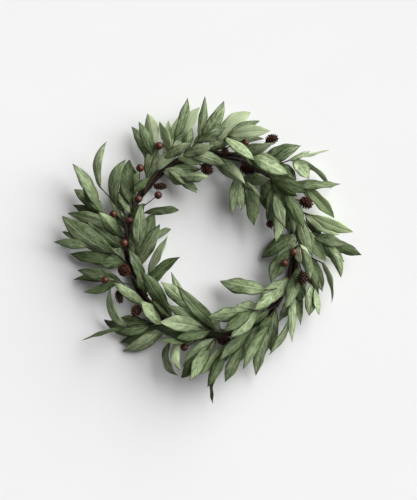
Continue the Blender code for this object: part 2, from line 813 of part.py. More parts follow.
def cone_body(cone, base, axis):
    """A closed cone whose scales stand out in staggered rows, by a formula on its surface."""
    bm = bmesh.new()
    bmesh.ops.create_uvsphere(bm, u_segments=2 * CONE_SCALES, v_segments=CONE_ROWS + 1, radius=1.0)
    across = axis.cross(Vector((0.0, 0.0, 1.0))).normalized()
    other = axis.cross(across)
    for v in bm.verts:
        height = (v.co.z + 1) / 2
        turn = math.atan2(v.co.y, v.co.x)
        row = round(math.acos(max(-1.0, min(1.0, -v.co.z))) / math.pi * (CONE_ROWS + 1))
        column = round(turn / math.pi * CONE_SCALES)
        full = math.hypot(v.co.x, v.co.y) * (1.08 - 0.22 * height)
        proud = 1 + SCALE_RELIEF * (0.5 if (row + column) % 2 == 0 else -0.5)
        reach = cone.radius * full * proud
        outward = across * math.cos(turn) + other * math.sin(turn)
        v.co = base + axis * cone.length * height + outward * reach
    bmesh.ops.triangulate(bm, faces=bm.faces)
    mesh = bpy.data.meshes.new("cone")
    bm.to_mesh(mesh)
    bm.free()
    return link_mesh("cone", mesh)


def bound_lines(root, seat, ends, radius, canes, others):
    """Stalks from one place beside the canes to each end, clear of canes and all others."""
    shifts = (0, 15, -15, 30, -30, 45, -45, 60, -60, 80, -80)
    steps = (0, 2, -2, 4, -4, 7, -7, 10, -10, 14, -14)
    for arch in (0.12, 0.25, 0.0, 0.4, -0.12, 0.6):
        for shift in shifts:
            for step in steps:
                if not 0 <= seat + shift <= 180:
                    continue

                def lines_from(start):
                    return [twig_line(start, end, arch) for end in ends]

                start, shapes = snug_seat(
                    root + step,
                    seat + shift,
                    lambda start: [sleeve(line, radius + CLEARANCE) for line in lines_from(start)],
                    canes,
                )
                if start and all(clear_of(shape, others) for shape in shapes):
                    return lines_from(start)
    raise ValueError(f"no room for the stalk at {root} degrees")


def build_ties(spray_lines, others, canes):
    """Wire ties round the canes wherever a clear place comes far enough from the last one."""
    ties = []
    last = -TIE_SPACING
    step = 360 // (CANE_COUNT * CANE_TWISTS)
    for angle in range(FIRST_TIE, 360, step):
        for turn in (0, 0.6, -0.6, 1.2, -1.2):
            corners = tie_corners(angle + turn, spray_lines)
            shape = sleeve(corners + corners[:1], WIRE_RADIUS)
            if angle - last >= TIE_SPACING and clear_of(shape, others + canes):
                name = f"wire_tie_{len(ties) + 1}"
                tie = tube(name, corners, [WIRE_RADIUS] * TIE_SIDES, resolution=0, closed=True)
                place(tie, ring_point(angle))
                ties.append(tie)
                last = angle
    return ties


def build_twig(number, twig, others, canes):
    """A twig and its berries fused, their shapes for the clearance tests, and what hides them."""
    ends = []
    heads = []
    for berry in twig.berries:
        offset, shape = settled_head(lambda o: berry_shape(berry, o), others + canes + heads)
        ends.append(picture_point(*berry) + offset)
        heads.append(shape)
    lines = bound_lines(twig.root, twig.seat, ends, TWIG_RADIUS, canes, others)
    shapes = [sleeve(line, TWIG_RADIUS + CLEARANCE) for line in lines] + heads
    stalks = [
        tube(f"stalk_{i}", line, [TWIG_RADIUS] * len(line), resolution=0)
        for i, line in enumerate(lines)
    ]
    node = joined(stalks[0], stalks[1:] + [ball(end, BERRY_RADIUS) for end in ends])
    node.name = f"berry_twig_{number}"
    place(node, lines[0][0])
    return node, shapes, [sight_column(end, BERRY_RADIUS * 0.7) for end in ends]


def build_cone(number, cone, others, canes):
    """A cone and its stalk fused, their shapes for the clearance tests, and what hides them."""
    offset, shape = settled_head(lambda o: cone_shape(cone, o), others + canes)
    base, axis = cone_centreline(cone, offset)
    end = base + axis * cone.length * 0.2
    line = bound_lines(cone.root, cone.seat, [end], CONE_STALK_RADIUS, canes, others)[0]
    shapes = [shape, sleeve(line, CONE_STALK_RADIUS + CLEARANCE)]
    stalk = tube("stalk", line, [CONE_STALK_RADIUS] * len(line), resolution=0)
    node = joined(cone_body(cone, base, axis), [stalk])
    node.name = f"cone_{number}"
    place(node, line[0])
    return node, shapes, [sight_column(base + axis * cone.length / 2, cone.radius * 0.6)]


def build_wreath():
    canes = [build_cane(i) for i in range(CANE_COUNT)]
    cane_shapes = [mesh_shape(obj) for obj in canes]

    spray_lines = []
    stem_shapes = []
    for spray in SPRAYS:
        lines = bound_stems(spray, cane_shapes, stem_shapes)
        spray_lines.append(lines)
        stem_shapes += [sleeve(line, STEM_RADIUS + CLEARANCE) for line in lines]

    ties = build_ties(spray_lines, stem_shapes, cane_shapes)
    fixed = [mesh_shape(tie) for tie in ties]
    hidden_by = []
    twigs = []
    for number, twig in enumerate(TWIGS, 1):
        node, shapes, columns = build_twig(number, twig, stem_shapes + fixed, cane_shapes)
        twigs.append(node)
        fixed += shapes
        hidden_by += columns
    cones = []
    for number, cone in enumerate(CONES, 1):
        node, shapes, columns = build_cone(number, cone, stem_shapes + fixed, cane_shapes)
        cones.append(node)
        fixed += shapes
        hidden_by += columns

    spray_leaves = settled_leaves(spray_lines, fixed + hidden_by + cane_shapes)
    sprays = []
    for number, (lines, leaves) in enumerate(zip(spray_lines, spray_leaves), 1):
        spray = build_spray(number, lines, leaves)
        place(spray, lines[0][0])
        sprays.append(spray)

    finish(canes, CANE_BROWN, 0.8)
    finish(ties, WIRE_BROWN, 0.5, 0.6)
    finish(sprays, LEAF_GREEN, 0.6)
    finish(twigs, BERRY_RED, 0.4)
    finish(cones, CONE_BROWN, 0.7)


clear_scene()
wreath = bpy.data.collections.new("wreath")
bpy.context.scene.collection.children.link(wreath)
middle = bpy.data.objects.new("wreath_middle", None)
wreath.objects.link(middle)
build_wreath()
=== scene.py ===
"""The leaf wreath dressed for its photograph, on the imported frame.

Fine leaves, stems, bark, berries, cone scales and binding wire take the place of the plain
solids. They are laid out by the same readings and the same rules as those solids, so that
each one lies where its solid does. Lengths are in metres, angles in degrees.
"""

import math
import random
from collections import namedtuple
from itertools import product

import bpy
import numpy as np
from mathutils import Matrix, Vector, noise
from mathutils.bvhtree import BVHTree


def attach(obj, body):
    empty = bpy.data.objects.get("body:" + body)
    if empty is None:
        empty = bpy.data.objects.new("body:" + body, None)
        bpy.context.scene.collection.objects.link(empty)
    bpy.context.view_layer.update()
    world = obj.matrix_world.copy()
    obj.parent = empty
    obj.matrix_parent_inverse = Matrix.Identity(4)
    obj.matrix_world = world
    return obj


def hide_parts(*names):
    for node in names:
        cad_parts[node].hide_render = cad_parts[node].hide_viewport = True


UP = Vector((0.0, 0.0, 1.0))

# The ring of canes. The wreath was wound by hand, so the ring is a little taller than wide.
RING_CENTRE = Vector((0.0072, 0.0108, 0.0))
RING_RADIUS = 0.158
RING_OVAL = 0.006
CANE_COUNT = 3
CANE_RADIUS = 0.0034
CANE_ORBIT = 0.00435
CANE_TWISTS = 5
CANE_POINTS = 36
CANE_GAP = 12.0
FIRST_GAP = 30.0
FLAT_DEPTH = 0.0005
BUNDLE_HEIGHT = CANE_ORBIT + CANE_RADIUS - FLAT_DEPTH

# Wire ties sit where two canes share the underside, so that the wire stays off the table.
FIRST_TIE = 18
TIE_SPACING = 40
TIE_REACH = 0.0125
TIE_SIDES = 12
WIRE_RADIUS = 0.0005

# Stems and leaves
STEM_RADIUS = 0.0015
STEM_TIP_RADIUS = 0.0009
LOWEST_TIP = 0.014
TURN_OFF_AT = 0.42
TURN_OFF_RISE = 0.3
BOW_POINTS = 5
FORK_AT = 0.16
LAST_LEAF_AT = 0.97
ROOT_SCATTER = 0.0002
THIN_LEAF = 8
LEAF_THICKNESS = 0.0012
PETIOLE_HALF_WIDTH = 0.0007
LEAF_FOLD = 0.10
RIDGE_SHARE = 0.6
LEAF_BASE = 0.8
CURL_CENTRE = 0.4
BROAD_LEAF = 0.0095
BLUNT_TIP = 0.72
FINE_TIP = 0.95
LEAF_STATIONS = (0.0, 0.3, 0.55, 0.8)
ARC_STEPS = 20

# How far a leaf may roll, curl, lift and droop before it is moved clear of others
ROLLS = (-28, 28)
THIN_ROLLS = (45, 62)
CURLS = (-16, 16)
LIFTS = (8, 34)
DROOPS = (10, 50)

# Berries and cones
BERRY_RADIUS = 0.0074
TWIG_RADIUS = 0.0009
CONE_STALK_RADIUS = 0.0012
STALK_INTO_CONE = 0.2

# The picture of the wreath: the pixel at the middle of the ring, and the size of one
PICTURE_CENTRE = (212, 244)
PIXEL = 0.0018

# What stands between two pieces, and how far a leaf may reach and stray
CLEARANCE = 0.0004
FIT_STEP = 0.0003
STEM_ROOM = 1.3
BERRY_ROOM = 1.1
CONE_ROOM = 1.15
BERRY_SIGHT = 0.7
CONE_SIGHT = 0.6
LEAF_FLOOR = 0.003
LEAF_CEILING = 0.090
LEAF_TRIES = 120
LEAF_SWAY = 0.008
LEAF_SHRINK = 0.2
LEAF_STRAY = {"lift": (-55, 45), "droop": (-50, 40), "curl": (-25, 25), "roll": (-40, 40)}
SIGHT_TOP = 0.110

Stem = namedtuple("Stem", "x y rise leaves")
Spray = namedtuple("Spray", "root seat stems")
Twig = namedtuple("Twig", "root seat berries")
Cone = namedtuple("Cone", "root seat x y z bearing pitch length radius")
Ways = namedtuple("Ways", "forms shifts steps seats")
Leaf = namedtuple("Leaf", "root bearing lift droop curl roll length half_width")
Layout = namedtuple("Layout", "stems ties twigs cones leaves")

# What is tried in turn to fit a stem or a stalk beside the canes: its lift or its arch, and
# the degrees that it moves round the canes and along the ring, within those seats
STEM_WAYS = Ways(
    (0.0, 0.005, -0.005, 0.010, -0.010, 0.016, 0.022),
    (0, 12, -12, 24, -24, 36, -36, 50, -50, 64, -64),
    (0, 1.5, -1.5, 3, -3), (5, 175))
STALK_WAYS = Ways(
    (0.12, 0.25, 0.0, 0.4, -0.12, 0.6),
    (0, 15, -15, 30, -30, 45, -45, 60, -60, 80, -80),
    (0, 2, -2, 4, -4, 7, -7, 10, -10, 14, -14), (0, 180))
TIE_TURNS = (0, 0.6, -0.6, 1.2, -1.2)
HEAD_STEPS = (0.0, 0.003, -0.003, 0.006, -0.006, 0.010, -0.010)
HEAD_LIFTS = (0.015, 0.020)

# Plan positions are read off the picture, in its pixels. Each spray leaves the ring at its root
# angle, seated that far round the canes (0 outside, 90 in front, 180 inside). A stem has the
# picture position and the height of its tip. A leaf has its share of the stem's length, the
# picture position of its tip and the width it shows there; a fifth number is how far it bends
# to its left on the way, in degrees. The first leaves of the sprays are placed first.
SPRAYS = (
    Spray(143, 50, (
        Stem(154, 142, 0.040, (
            (0.30, 156, 138, 14), (0.6, 131, 126, 12, 30), (0.75, 138, 122, 11, 20),
            (0.96, 147, 113, 14))),
    )),
    Spray(134, 50, (
        Stem(177, 136, 0.036, (
            (0.25, 184, 137, 13), (0.94, 201, 107, 16), (0.75, 184, 111, 12), (1.0, 187, 97, 11, 20),
            (0.6, 168, 119, 10), (0.5, 192, 142, 10), (0.7, 161, 121, 8, 10))),
    )),
    Spray(127, 95, (
        Stem(187, 150, 0.046, (
            (0.7, 208, 159, 14, -15), (1.0, 226, 166, 13, -15), (0.85, 213, 146, 11))),
        Stem(178, 178, 0.030, (
            (0.02, 191, 183, 16, -10), (0.1, 201, 169, 10), (0.42, 197, 190, 10), (1.0, 211, 177, 12),
            (0.85, 197, 193, 9))),
    )),
    Spray(117, 40, (
        Stem(202, 137, 0.034, (
            (0.92, 205, 96, 9, 10), (1.0, 224, 101, 13, 30), (0.75, 214, 124, 10), (0.5, 190, 121, 11),
            (0.85, 228, 126, 10))),
    )),
    Spray(103, 50, (
        Stem(232, 134, 0.042, (
            (0.88, 261, 166, 14), (0.95, 271, 131, 13), (0.68, 251, 112, 18, -35), (0.90, 260, 121, 11),
            (0.80, 262, 129, 12), (0.5, 232, 119, 11, -20), (0.4, 236, 140, 11), (0.7, 265, 138, 9))),
    )),
    Spray(95, 135, (
        Stem(250, 190, 0.026, (
            (0.08, 245, 184, 14, -25), (0.75, 232, 215, 9), (1.0, 254, 226, 11), (0.85, 241, 211, 10),
            (0.9, 259, 214, 11), (0.8, 262, 197, 9), (0.85, 268, 180, 13))),
    )),
    Spray(87, 85, (
        Stem(252, 155, 0.050, (
            (1.0, 288, 174, 16), (0.8, 270, 169, 12), (0.6, 284, 160, 12), (0.5, 276, 147, 13))),
    )),
    Spray(64, 40, (
        Stem(296, 158, 0.032, (
            (0.2, 299, 145, 12, -25), (0.5, 304, 143, 10, -15), (1.0, 329, 150, 3), (0.85, 311, 151, 6),
            (0.97, 309, 179, 14), (0.95, 333, 191, 5, -60), (0.7, 296, 180, 11))),
    )),
    Spray(58, 95, (
        Stem(285, 191, 0.048, (
            (0.45, 306, 193, 13), (0.5, 295, 212, 14), (0.97, 303, 229, 13), (0.35, 299, 182, 10),
            (0.9, 294, 235, 12), (0.6, 298, 199, 11))),
        Stem(277, 208, 0.028, (
            (0.8, 274, 245, 12, -15), (0.5, 271, 230, 11), (0.6, 283, 231, 12), (0.2, 268, 211, 13, 25),
            (0.9, 289, 231, 11))),
    )),
    Spray(46, 40, (
        Stem(306, 186, 0.030, (
            (0.82, 341, 184, 8), (1.0, 335, 218, 12, -15), (0.6, 322, 181, 9), (0.9, 321, 202, 9))),
    )),
    Spray(30, 45, (
        Stem(314, 216, 0.040, (
            (1.0, 353, 232, 12, 15), (0.45, 313, 256, 13, 15), (0.7, 340, 235, 13), (0.75, 322, 238, 12))),
    )),
    Spray(17, 50, (
        Stem(326, 240, 0.034, (
            (1.0, 362, 255, 12), (0.55, 345, 262, 16), (0.75, 346, 246, 12), (0.9, 341, 279, 11, -50),
            (0.35, 327, 262, 12))),
    )),
    Spray(10, 90, (
        Stem(302, 250, 0.050, (
            (0.7, 301, 270, 13), (0.15, 290, 250, 12), (1.0, 308, 284, 11))),
        Stem(287, 252, 0.030, (
            (0.2, 262, 258, 15, 30), (0.9, 271, 282, 16), (0.6, 272, 266, 12))),
    )),
    Spray(3, 40, (
        Stem(325, 264, 0.028, (
            (0.6, 323, 292, 12), (1.0, 332, 303, 5, -35), (0.4, 319, 297, 13))),
    )),
    Spray(351, 55, (
        Stem(317, 289, 0.036, (
            (0.85, 309, 316, 12), (1.0, 319, 315, 7), (0.5, 301, 303, 12), (0.3, 286, 309, 13))),
        Stem(294, 313, 0.030, (
            (1.0, 269, 355, 7, -20), (0.7, 292, 342, 9), (0.4, 302, 326, 9), (0.7, 279, 322, 10))),
    )),
    Spray(337, 95, (
        Stem(264, 290, 0.046, (
            (1.0, 220, 281, 16, -10), (0.05, 258, 303, 18), (0.5, 254, 310, 12))),
    )),
    Spray(322, 70, (
        Stem(268, 334, 0.034, (
            (0.75, 262, 358, 11), (1.0, 256, 376, 11, 20), (0.8, 243, 369, 11, 20),
            (0.35, 271, 352, 13), (0.6, 258, 333, 10))),
        Stem(248, 309, 0.050, (
            (0.95, 207, 317, 14), (0.4, 244, 323, 13), (0.8, 230, 337, 13), (1.0, 222, 331, 12),
            (0.6, 236, 305, 12))),
    )),
    Spray(305, 45, (
        Stem(242, 348, 0.038, (
            (0.9, 225, 382, 12, 10), (0.4, 219, 360, 13), (0.2, 240, 362, 12))),
    )),
    Spray(292, 40, (
        Stem(217, 366, 0.030, (
            (1.0, 213, 404, 5, 40), (0.7, 206, 387, 11), (0.3, 214, 366, 12), (0.5, 198, 376, 11))),
    )),
    Spray(283, 95, (
        Stem(199, 326, 0.050, (
            (0.9, 160, 322, 16), (0.25, 198, 331, 13), (0.7, 176, 338, 13), (0.4, 210, 314, 11))),
        Stem(190, 309, 0.028, (
            (0.15, 177, 285, 14, -12), (0.8, 171, 272, 10, -20), (1.0, 161, 282, 14),
            (0.4, 166, 304, 13))),
    )),
    Spray(276, 50, (
        Stem(207, 350, 0.040, (
            (0.3, 183, 367, 17), (1.0, 181, 378, 14), (0.75, 190, 381, 14))),
        Stem(168, 342, 0.034, (
            (0.97, 178, 375, 8, 105), (0.3, 153, 328, 12), (0.8, 184, 372, 9, 80), (0.55, 158, 340, 8))),
    )),
    Spray(250, 120, (
        Stem(165, 305, 0.030, (
            (0.8, 142, 272, 15), (0.5, 150, 290, 13))),
    )),
    Spray(246, 50, (
        Stem(118, 329, 0.032, (
            (0.5, 103, 320, 16, -60), (0.3, 142, 301, 14), (1.0, 81, 341, 4), (0.2, 122, 352, 14, -30),
            (0.5, 118, 317, 13), (0.3, 119, 342, 12, -20), (0.88, 112, 286, 9, -80))),
    )),
    Spray(229, 55, (
        Stem(117, 278, 0.022, (
            (0.25, 111, 281, 11), (0.9, 77, 271, 14, 25), (0.95, 70, 284, 7, 40), (1.0, 83, 292, 9, -35))),
    )),
    Spray(219, 140, (
        Stem(149, 272, 0.030, (
            (0.95, 168, 236, 9, -5), (0.2, 180, 257, 12, -50), (0.35, 128, 246, 11), (0.3, 136, 277, 9))),
    )),
    Spray(203, 130, (
        Stem(144, 240, 0.036, (
            (0.5, 154, 211, 17), (0.25, 160, 224, 15), (0.6, 131, 232, 11), (0.8, 141, 203, 14),
            (0.97, 171, 230, 7, -15))),
    )),
    Spray(196, 45, (
        Stem(85, 247, 0.036, (
            (0.5, 62, 216, 20, -20), (0.3, 69, 254, 13), (0.2, 97, 262, 13), (1.0, 54, 242, 10, 15),
            (0.85, 60, 232, 6), (0.15, 100, 236, 13))),
    )),
    Spray(185, 50, (
        Stem(97, 208, 0.034, (
            (0.6, 67, 213, 13), (0.85, 73, 189, 13), (1.0, 73, 164, 12, 25), (0.1, 86, 220, 15),
            (0.7, 71, 204, 12), (0.9, 82, 186, 11), (0.35, 98, 210, 13))),
    )),
    Spray(176, 60, (
        Stem(99, 186, 0.046, (
            (0.97, 107, 142, 9, -60), (0.65, 126, 160, 12, -60), (0.4, 111, 187, 12),
            (0.2, 118, 205, 11))),
    )),
    Spray(167, 80, (
        Stem(134, 182, 0.050, (
            (0.5, 130, 156, 19, -15), (1.0, 142, 165, 11), (0.3, 120, 186, 12), (0.8, 150, 178, 9))),
        Stem(150, 214, 0.030, (
            (0.8, 179, 210, 8, -20), (0.15, 144, 204, 10))),
    )),
)

# Berries, as picture position and height
TWIGS = (
    Twig(165, 120, ((135, 199, 0.040), (158, 195, 0.030))),
    Twig(178, 100, ((129, 221, 0.042), (113, 214, 0.032))),
    Twig(190, 110, ((124, 243, 0.044),)),
    Twig(208, 60, ((105, 280, 0.040),)),
    Twig(264, 20, ((184, 346, 0.030),)),
    Twig(352, 120, ((293, 252, 0.052), (284, 263, 0.044))),
    Twig(24, 150, ((270, 224, 0.030),)),
    Twig(140, 60, ((159, 146, 0.046), (140, 168, 0.036))),
    Twig(93, 70, ((245, 143, 0.046), (225, 151, 0.044))),
)

# Cones, placed by the middle of the cone in the same way
CONES = (
    Cone(204, 80, 124, 270, 0.046, 100, 65, 0.026, 0.0120),
    Cone(214, 20, 119, 297, 0.024, 285, 10, 0.028, 0.0085),
    Cone(224, 40, 136, 311, 0.038, 250, 30, 0.025, 0.0105),
    Cone(104, 120, 207, 169, 0.036, 325, 35, 0.028, 0.0115),
    Cone(72, 100, 248, 169, 0.028, 340, 10, 0.032, 0.0115),
    Cone(64, 40, 272, 139, 0.028, 20, 15, 0.027, 0.0105),
    Cone(30, 60, 306, 203, 0.048, 335, 25, 0.029, 0.0120),
    Cone(350, 70, 302, 278, 0.046, 265, 30, 0.029, 0.0110),
    Cone(134, 160, 160, 186, 0.022, 0, 5, 0.027, 0.0080),
    Cone(272, 40, 221, 335, 0.024, 355, 8, 0.028, 0.0100),
)

# Fine leaves. A blade's arch and fold are shares of its half-width.
BLADE_STEPS = 26
BLADE_COLUMNS = 8
BLADE_THICKNESS = 0.00045
BLADE_ARCH = 0.20
BLADE_FOLD = 0.38
BLADE_TWIST = 0.7
TAPER_FROM = 0.74
TAPER_POWER = 0.95
TAPER_BLEND = 12
BLADE_TIP = 0.00025
WAVE_HEIGHT = 0.0015
WAVED_WIDTH = 0.006
RIM_WAVE = 0.05
CREASE_DEPTH = 0.0003
CREASE_WIDTH = 0.16
STALK_END = 0.07
STALK_THICKNESS = 0.0011
VEIN_PAIRS = 10
VEIN_SLANT = 0.16
MOTTLE_ALONG = 5.5
MOTTLE_ACROSS = 3.0

# Fine stems, canes, wire and stalks. Knots are spaced and reach in points of their cane.
FINE_STEM_POINTS = 28
LEAF_NODE_SWELL = 0.35
LEAF_NODE_LENGTH = 0.003
FINE_CANE_POINTS = 220
KNOT_GAPS = (9, 20)
KNOT_SWELL = 0.10
KNOT_REACH = 0.9
CANE_RELIEF = 0.10
FINE_WIRE_RADIUS = 0.0004
STALK_POINTS = 20
CONE_STALK_POINTS = 16
CANE_SIDES = 14
STEM_SIDES = 8
THIN_SIDES = 6
BARK_RELIEF = 0.15
STEM_GRAIN = 2600.0
CANE_GRAIN = 1500.0
GRAIN_STRETCH = 0.12
LUMP_ALONG = 160
LUMP_ROUND = 1.6

# Fine cones. The core's sizes are shares of the cone's length and radius.
SCALE_COUNT = 52
GOLDEN_ANGLE = 137.508
CORE_MIDDLE = 0.48
CORE_HALF_LENGTH = 0.44
CORE_GIRTH = 0.62

# The seeds of each kind of piece
CANE_SEED = 40
TWIG_SEED = 60
CONE_SEED = 80
SPRAY_SEED = 100

# The photograph's frame, and the camera high above it
FRAME_PIXELS = (417, 500)
CAMERA_HEIGHT = 4.0
SHARP_HEIGHT = 0.04
SENSOR = 36.0

# Colours, as linear red, green and blue
LEAF_DEEP = (0.036, 0.050, 0.016)
LEAF_GREEN = (0.104, 0.144, 0.058)
LEAF_SAGE = (0.245, 0.318, 0.165)
LEAF_PALE = (0.440, 0.510, 0.315)
# Painted light for the leaves that are turned from the light and still show bright
LEAF_PAINTED_LIGHT = (0.520, 0.660, 0.320)
# Painted shade, multiplied into leaves with a low marked tone, partly their own darker tone
LEAF_SHADE = (0.20, 0.24, 0.14)
STALK_BROWN = (0.034, 0.030, 0.016)
STEM_DARK = (0.016, 0.010, 0.008)
STEM_LIGHT = (0.055, 0.038, 0.027)
CANE_DARK = (0.0130, 0.0075, 0.0050)
CANE_LIGHT = (0.052, 0.029, 0.019)
BARK_SPECK = (0.110, 0.080, 0.060)
BERRY_DARK = (0.030, 0.006, 0.003)
BERRY_RED = (0.074, 0.018, 0.006)
BERRY_PALE = (0.150, 0.052, 0.022)
CROWN_BROWN = (0.020, 0.010, 0.008)
CONE_DEEP = (0.014, 0.005, 0.002)
CONE_BROWN = (0.058, 0.016, 0.008)
CONE_PALE = (0.140, 0.055, 0.030)
WIRE_BROWN = (0.030, 0.022, 0.016)
WIRE_WORN = (0.120, 0.090, 0.060)
FLOOR_PALE = (0.800, 0.800, 0.800)
FLOOR_WHITE = (0.812, 0.812, 0.812)
SURROUND_COLOUR = (1.0, 1.0, 1.0)

# Light
KEY_STRENGTH = 8.1
KEY_SPREAD = 76.0
KEY_FROM = (37.0, 22.0)
SURROUND_STRENGTH = 0.115
FLOOR_SIDE = 12.0

# Painted shade and light on the leaves: how much lighter a leaf is painted above the wreath's middle height
# and at the top of the picture, and darker below; and how much lighter it is from one of its ends to the
# other
MIDDLE_HEIGHT = 0.036
PAINTED_DEPTH_SHADE = 0.35
PAINTED_TOP_LIGHT = 0.13
TONE_SLOPES = (-0.3, 0.3)

# The picture positions of the tips of the leaves that show pale and dark. Their tones are partly the
# leaves' own colour and partly painted light and shade.
TIP_REACH = 0.012
PALE_TIPS = (
    (201, 107), (232, 119), (251, 112), (271, 131), (329, 150), (333, 191), (340, 235), (301, 270),
    (332, 303), (258, 303), (240, 362), (183, 367), (160, 322), (122, 352), (142, 301), (161, 282),
    (112, 284), (168, 236), (147, 113), (168, 119), (184, 137), (191, 183), (184, 111), (256, 376))
DARK_TIPS = (
    (205, 96), (224, 101), (226, 128), (260, 121), (254, 161), (232, 215), (288, 174), (296, 180),
    (299, 182), (322, 181), (341, 184), (254, 226), (362, 255), (274, 265), (309, 280), (323, 292),
    (271, 282), (301, 303), (286, 309), (243, 369), (225, 382), (205, 319), (206, 387), (190, 380),
    (176, 338), (177, 285), (119, 342), (150, 290), (180, 257), (142, 272), (83, 292), (70, 284),
    (97, 262), (69, 254), (54, 242), (71, 204), (99, 212), (82, 186), (73, 164), (141, 203), (133, 157),
    (138, 122), (187, 97))

# Those that are turned from the light and still show bright, which get painted light, and the darkest of
# all, which are partly their own dark tone and partly painted shade
PAINTED_LIGHT_TIPS = ((353, 232), (335, 218), (160, 122), (207, 159), (200, 375), (327, 262))
DEEPEST_TIPS = (
    (303, 229), (306, 193), (297, 197), (224, 331), (137, 171), (150, 178), (159, 340), (258, 333))

# How light those leaves are and all the others, partly their own tone and partly painted light and
# shade. What comes to less than 0 in the end is 0, darkest.
LISTED_TONES = (
    (DEEPEST_TIPS, (-0.6, -0.5)),
    (PALE_TIPS + PAINTED_LIGHT_TIPS, (0.75, 1.0)),
    (DARK_TIPS, (0.05, 0.30)))
OTHER_TONES = (0.2, 0.7)


# Places


def heading_vector(bearing, elevation=0.0):
    b, e = math.radians(bearing), math.radians(elevation)
    return Vector((math.cos(e) * math.cos(b), math.cos(e) * math.sin(b), math.sin(e)))


def ring_point(angle, out=0.0, up=0.0):
    """A point beside the ring's centreline at that angle round it."""
    radius = RING_RADIUS - RING_OVAL * math.cos(math.radians(2 * angle))
    at = RING_CENTRE + heading_vector(angle) * (radius + out)
    return at + UP * (BUNDLE_HEIGHT + up)


def seat_point(angle, seat, distance):
    """A point that far from the ring's centreline, on the seat's side of the canes."""
    s = math.radians(seat)
    return ring_point(angle, distance * math.cos(s), distance * math.sin(s))


def picture_point(x, y, z):
    """A point from its place in the picture and its height."""
    right, up = x - PICTURE_CENTRE[0], PICTURE_CENTRE[1] - y
    return RING_CENTRE + Vector((right * PIXEL, up * PIXEL, z))


# Shapes for the clearance tests: (lowest corner, highest corner, tree of faces)


def solid_shape(points, faces):
    lo = [min(p[i] for p in points) for i in range(3)]
    hi = [max(p[i] for p in points) for i in range(3)]
    return lo, hi, BVHTree.FromPolygons([tuple(p) for p in points], faces)


def clear_of(shape, others):
    lo, hi, tree = shape
    for other_lo, other_hi, other_tree in others:
        if all(lo[i] < other_hi[i] and other_lo[i] < hi[i] for i in range(3)):
            if tree.overlap(other_tree):
                return False
    return True


def all_clear(shapes, others):
    return all(clear_of(shape, others) for shape in shapes)


def round_turns(count):
    """The angles of that many even steps round a circle."""
    return [2 * math.pi * i / count for i in range(count)]


def loft_faces(rings, sides, pointed=False):
    """Triangles round a run of rings of points, with flat ends or a pointed far end."""
    faces = []
    for r in range(rings - 1):
        for s in range(sides):
            a, b = r * sides + s, r * sides + (s + 1) % sides
            # Both triangles of a face share the diagonal that runs from its nearer left corner.
            faces += [(a, b, b + sides), (a, b + sides, a + sides)]
    faces += [(0, s + 1, s) for s in range(1, sides - 1)]
    last = (rings - 1) * sides
    if pointed:
        faces += [(last + s, last + (s + 1) % sides, last + sides) for s in range(sides)]
    else:
        faces += [(last, last + s, last + s + 1) for s in range(1, sides - 1)]
    return faces


def sleeve(points, radius, sides=6):
    """A tube round a line of points, for clearance tests."""
    corners = []
    for i, p in enumerate(points):
        along = (points[min(i + 1, len(points) - 1)] - points[max(i - 1, 0)]).normalized()
        across = along.cross(UP)
        if across.length < 0.05:
            across = along.cross(Vector((1.0, 0.0, 0.0)))
        across.normalize()
        other = across.cross(along)
        for turn in round_turns(sides):
            corners.append(p + (across * math.cos(turn) + other * math.sin(turn)) * radius)
    return solid_shape(corners, loft_faces(len(points), sides))


# The ring


def cane_phase(cane, angle):
    return 360.0 / CANE_COUNT * cane + CANE_TWISTS * angle


def cane_centre(cane, angle):
    return seat_point(angle, cane_phase(cane, angle), CANE_ORBIT)


def cane_line(cane, count):
    """That many points along a cane, from one of its ends to the other."""
    start = FIRST_GAP + cane * 360.0 / CANE_COUNT + CANE_GAP / 2
    step = (360.0 - CANE_GAP) / (count - 1)
    return [cane_centre(cane, start + i * step) for i in range(count)]


def plain_cane(cane):
    """The shape of a cane, swept the way its solid is, that the layout is tested against."""
    points = cane_line(cane, CANE_POINTS)
    curve = bpy.data.curves.new("plain_cane", "CURVE")
    curve.dimensions = "3D"
    curve.bevel_depth = CANE_RADIUS
    curve.bevel_resolution = 1
    curve.use_fill_caps = True
    spline = curve.splines.new("POLY")
    spline.points.add(len(points) - 1)
    for knot, p in zip(spline.points, points):
        knot.co = (*p, 1.0)
    line = bpy.data.objects.new("plain_cane", curve)
    mesh = bpy.data.meshes.new_from_object(line)
    shape = solid_shape([v.co for v in mesh.vertices], [tuple(p.vertices) for p in mesh.polygons])
    bpy.data.meshes.remove(mesh)
    bpy.data.objects.remove(line)
    bpy.data.curves.remove(curve)
    return shape


def tie_corners(angle, spray_lines):
    """The corners of a wire loop drawn tight round the canes and the stems beside them."""
    circles = []
    for cane in range(CANE_COUNT):
        phase = math.radians(cane_phase(cane, angle))
        circles.append((CANE_ORBIT * math.cos(phase), CANE_ORBIT * math.sin(phase), CANE_RADIUS))
    along = heading_vector(angle + 90)
    centre = ring_point(angle)
    outward = heading_vector(angle)
    for points in (line for lines in spray_lines for line in lines):
        for p, q in zip(points, points[1:]):
            before, after = (p - centre).dot(along), (q - centre).dot(along)
            if before * after > 0 or before == after:
                continue
            at = p.lerp(q, before / (before - after)) - centre
            if math.hypot(at.dot(outward), at.z) < TIE_REACH:
                circles.append((at.dot(outward), at.z, STEM_RADIUS * STEM_ROOM))
    reach = []
    for turn in round_turns(TIE_SIDES):
        furthest = max(x * math.cos(turn) + z * math.sin(turn) + r for x, z, r in circles)
        reach.append(furthest + CLEARANCE + WIRE_RADIUS)
    corners = []
    for i in range(TIE_SIDES):
        a = 2 * math.pi * i / TIE_SIDES
        b = 2 * math.pi * (i + 1) / TIE_SIDES
        first, second = reach[i], reach[(i + 1) % TIE_SIDES]
        x = (first * math.sin(b) - second * math.sin(a)) / math.sin(b - a)
        z = (second * math.cos(a) - first * math.cos(b)) / math.sin(b - a)
        corners.append(centre + outward * x + UP * z)
    return corners


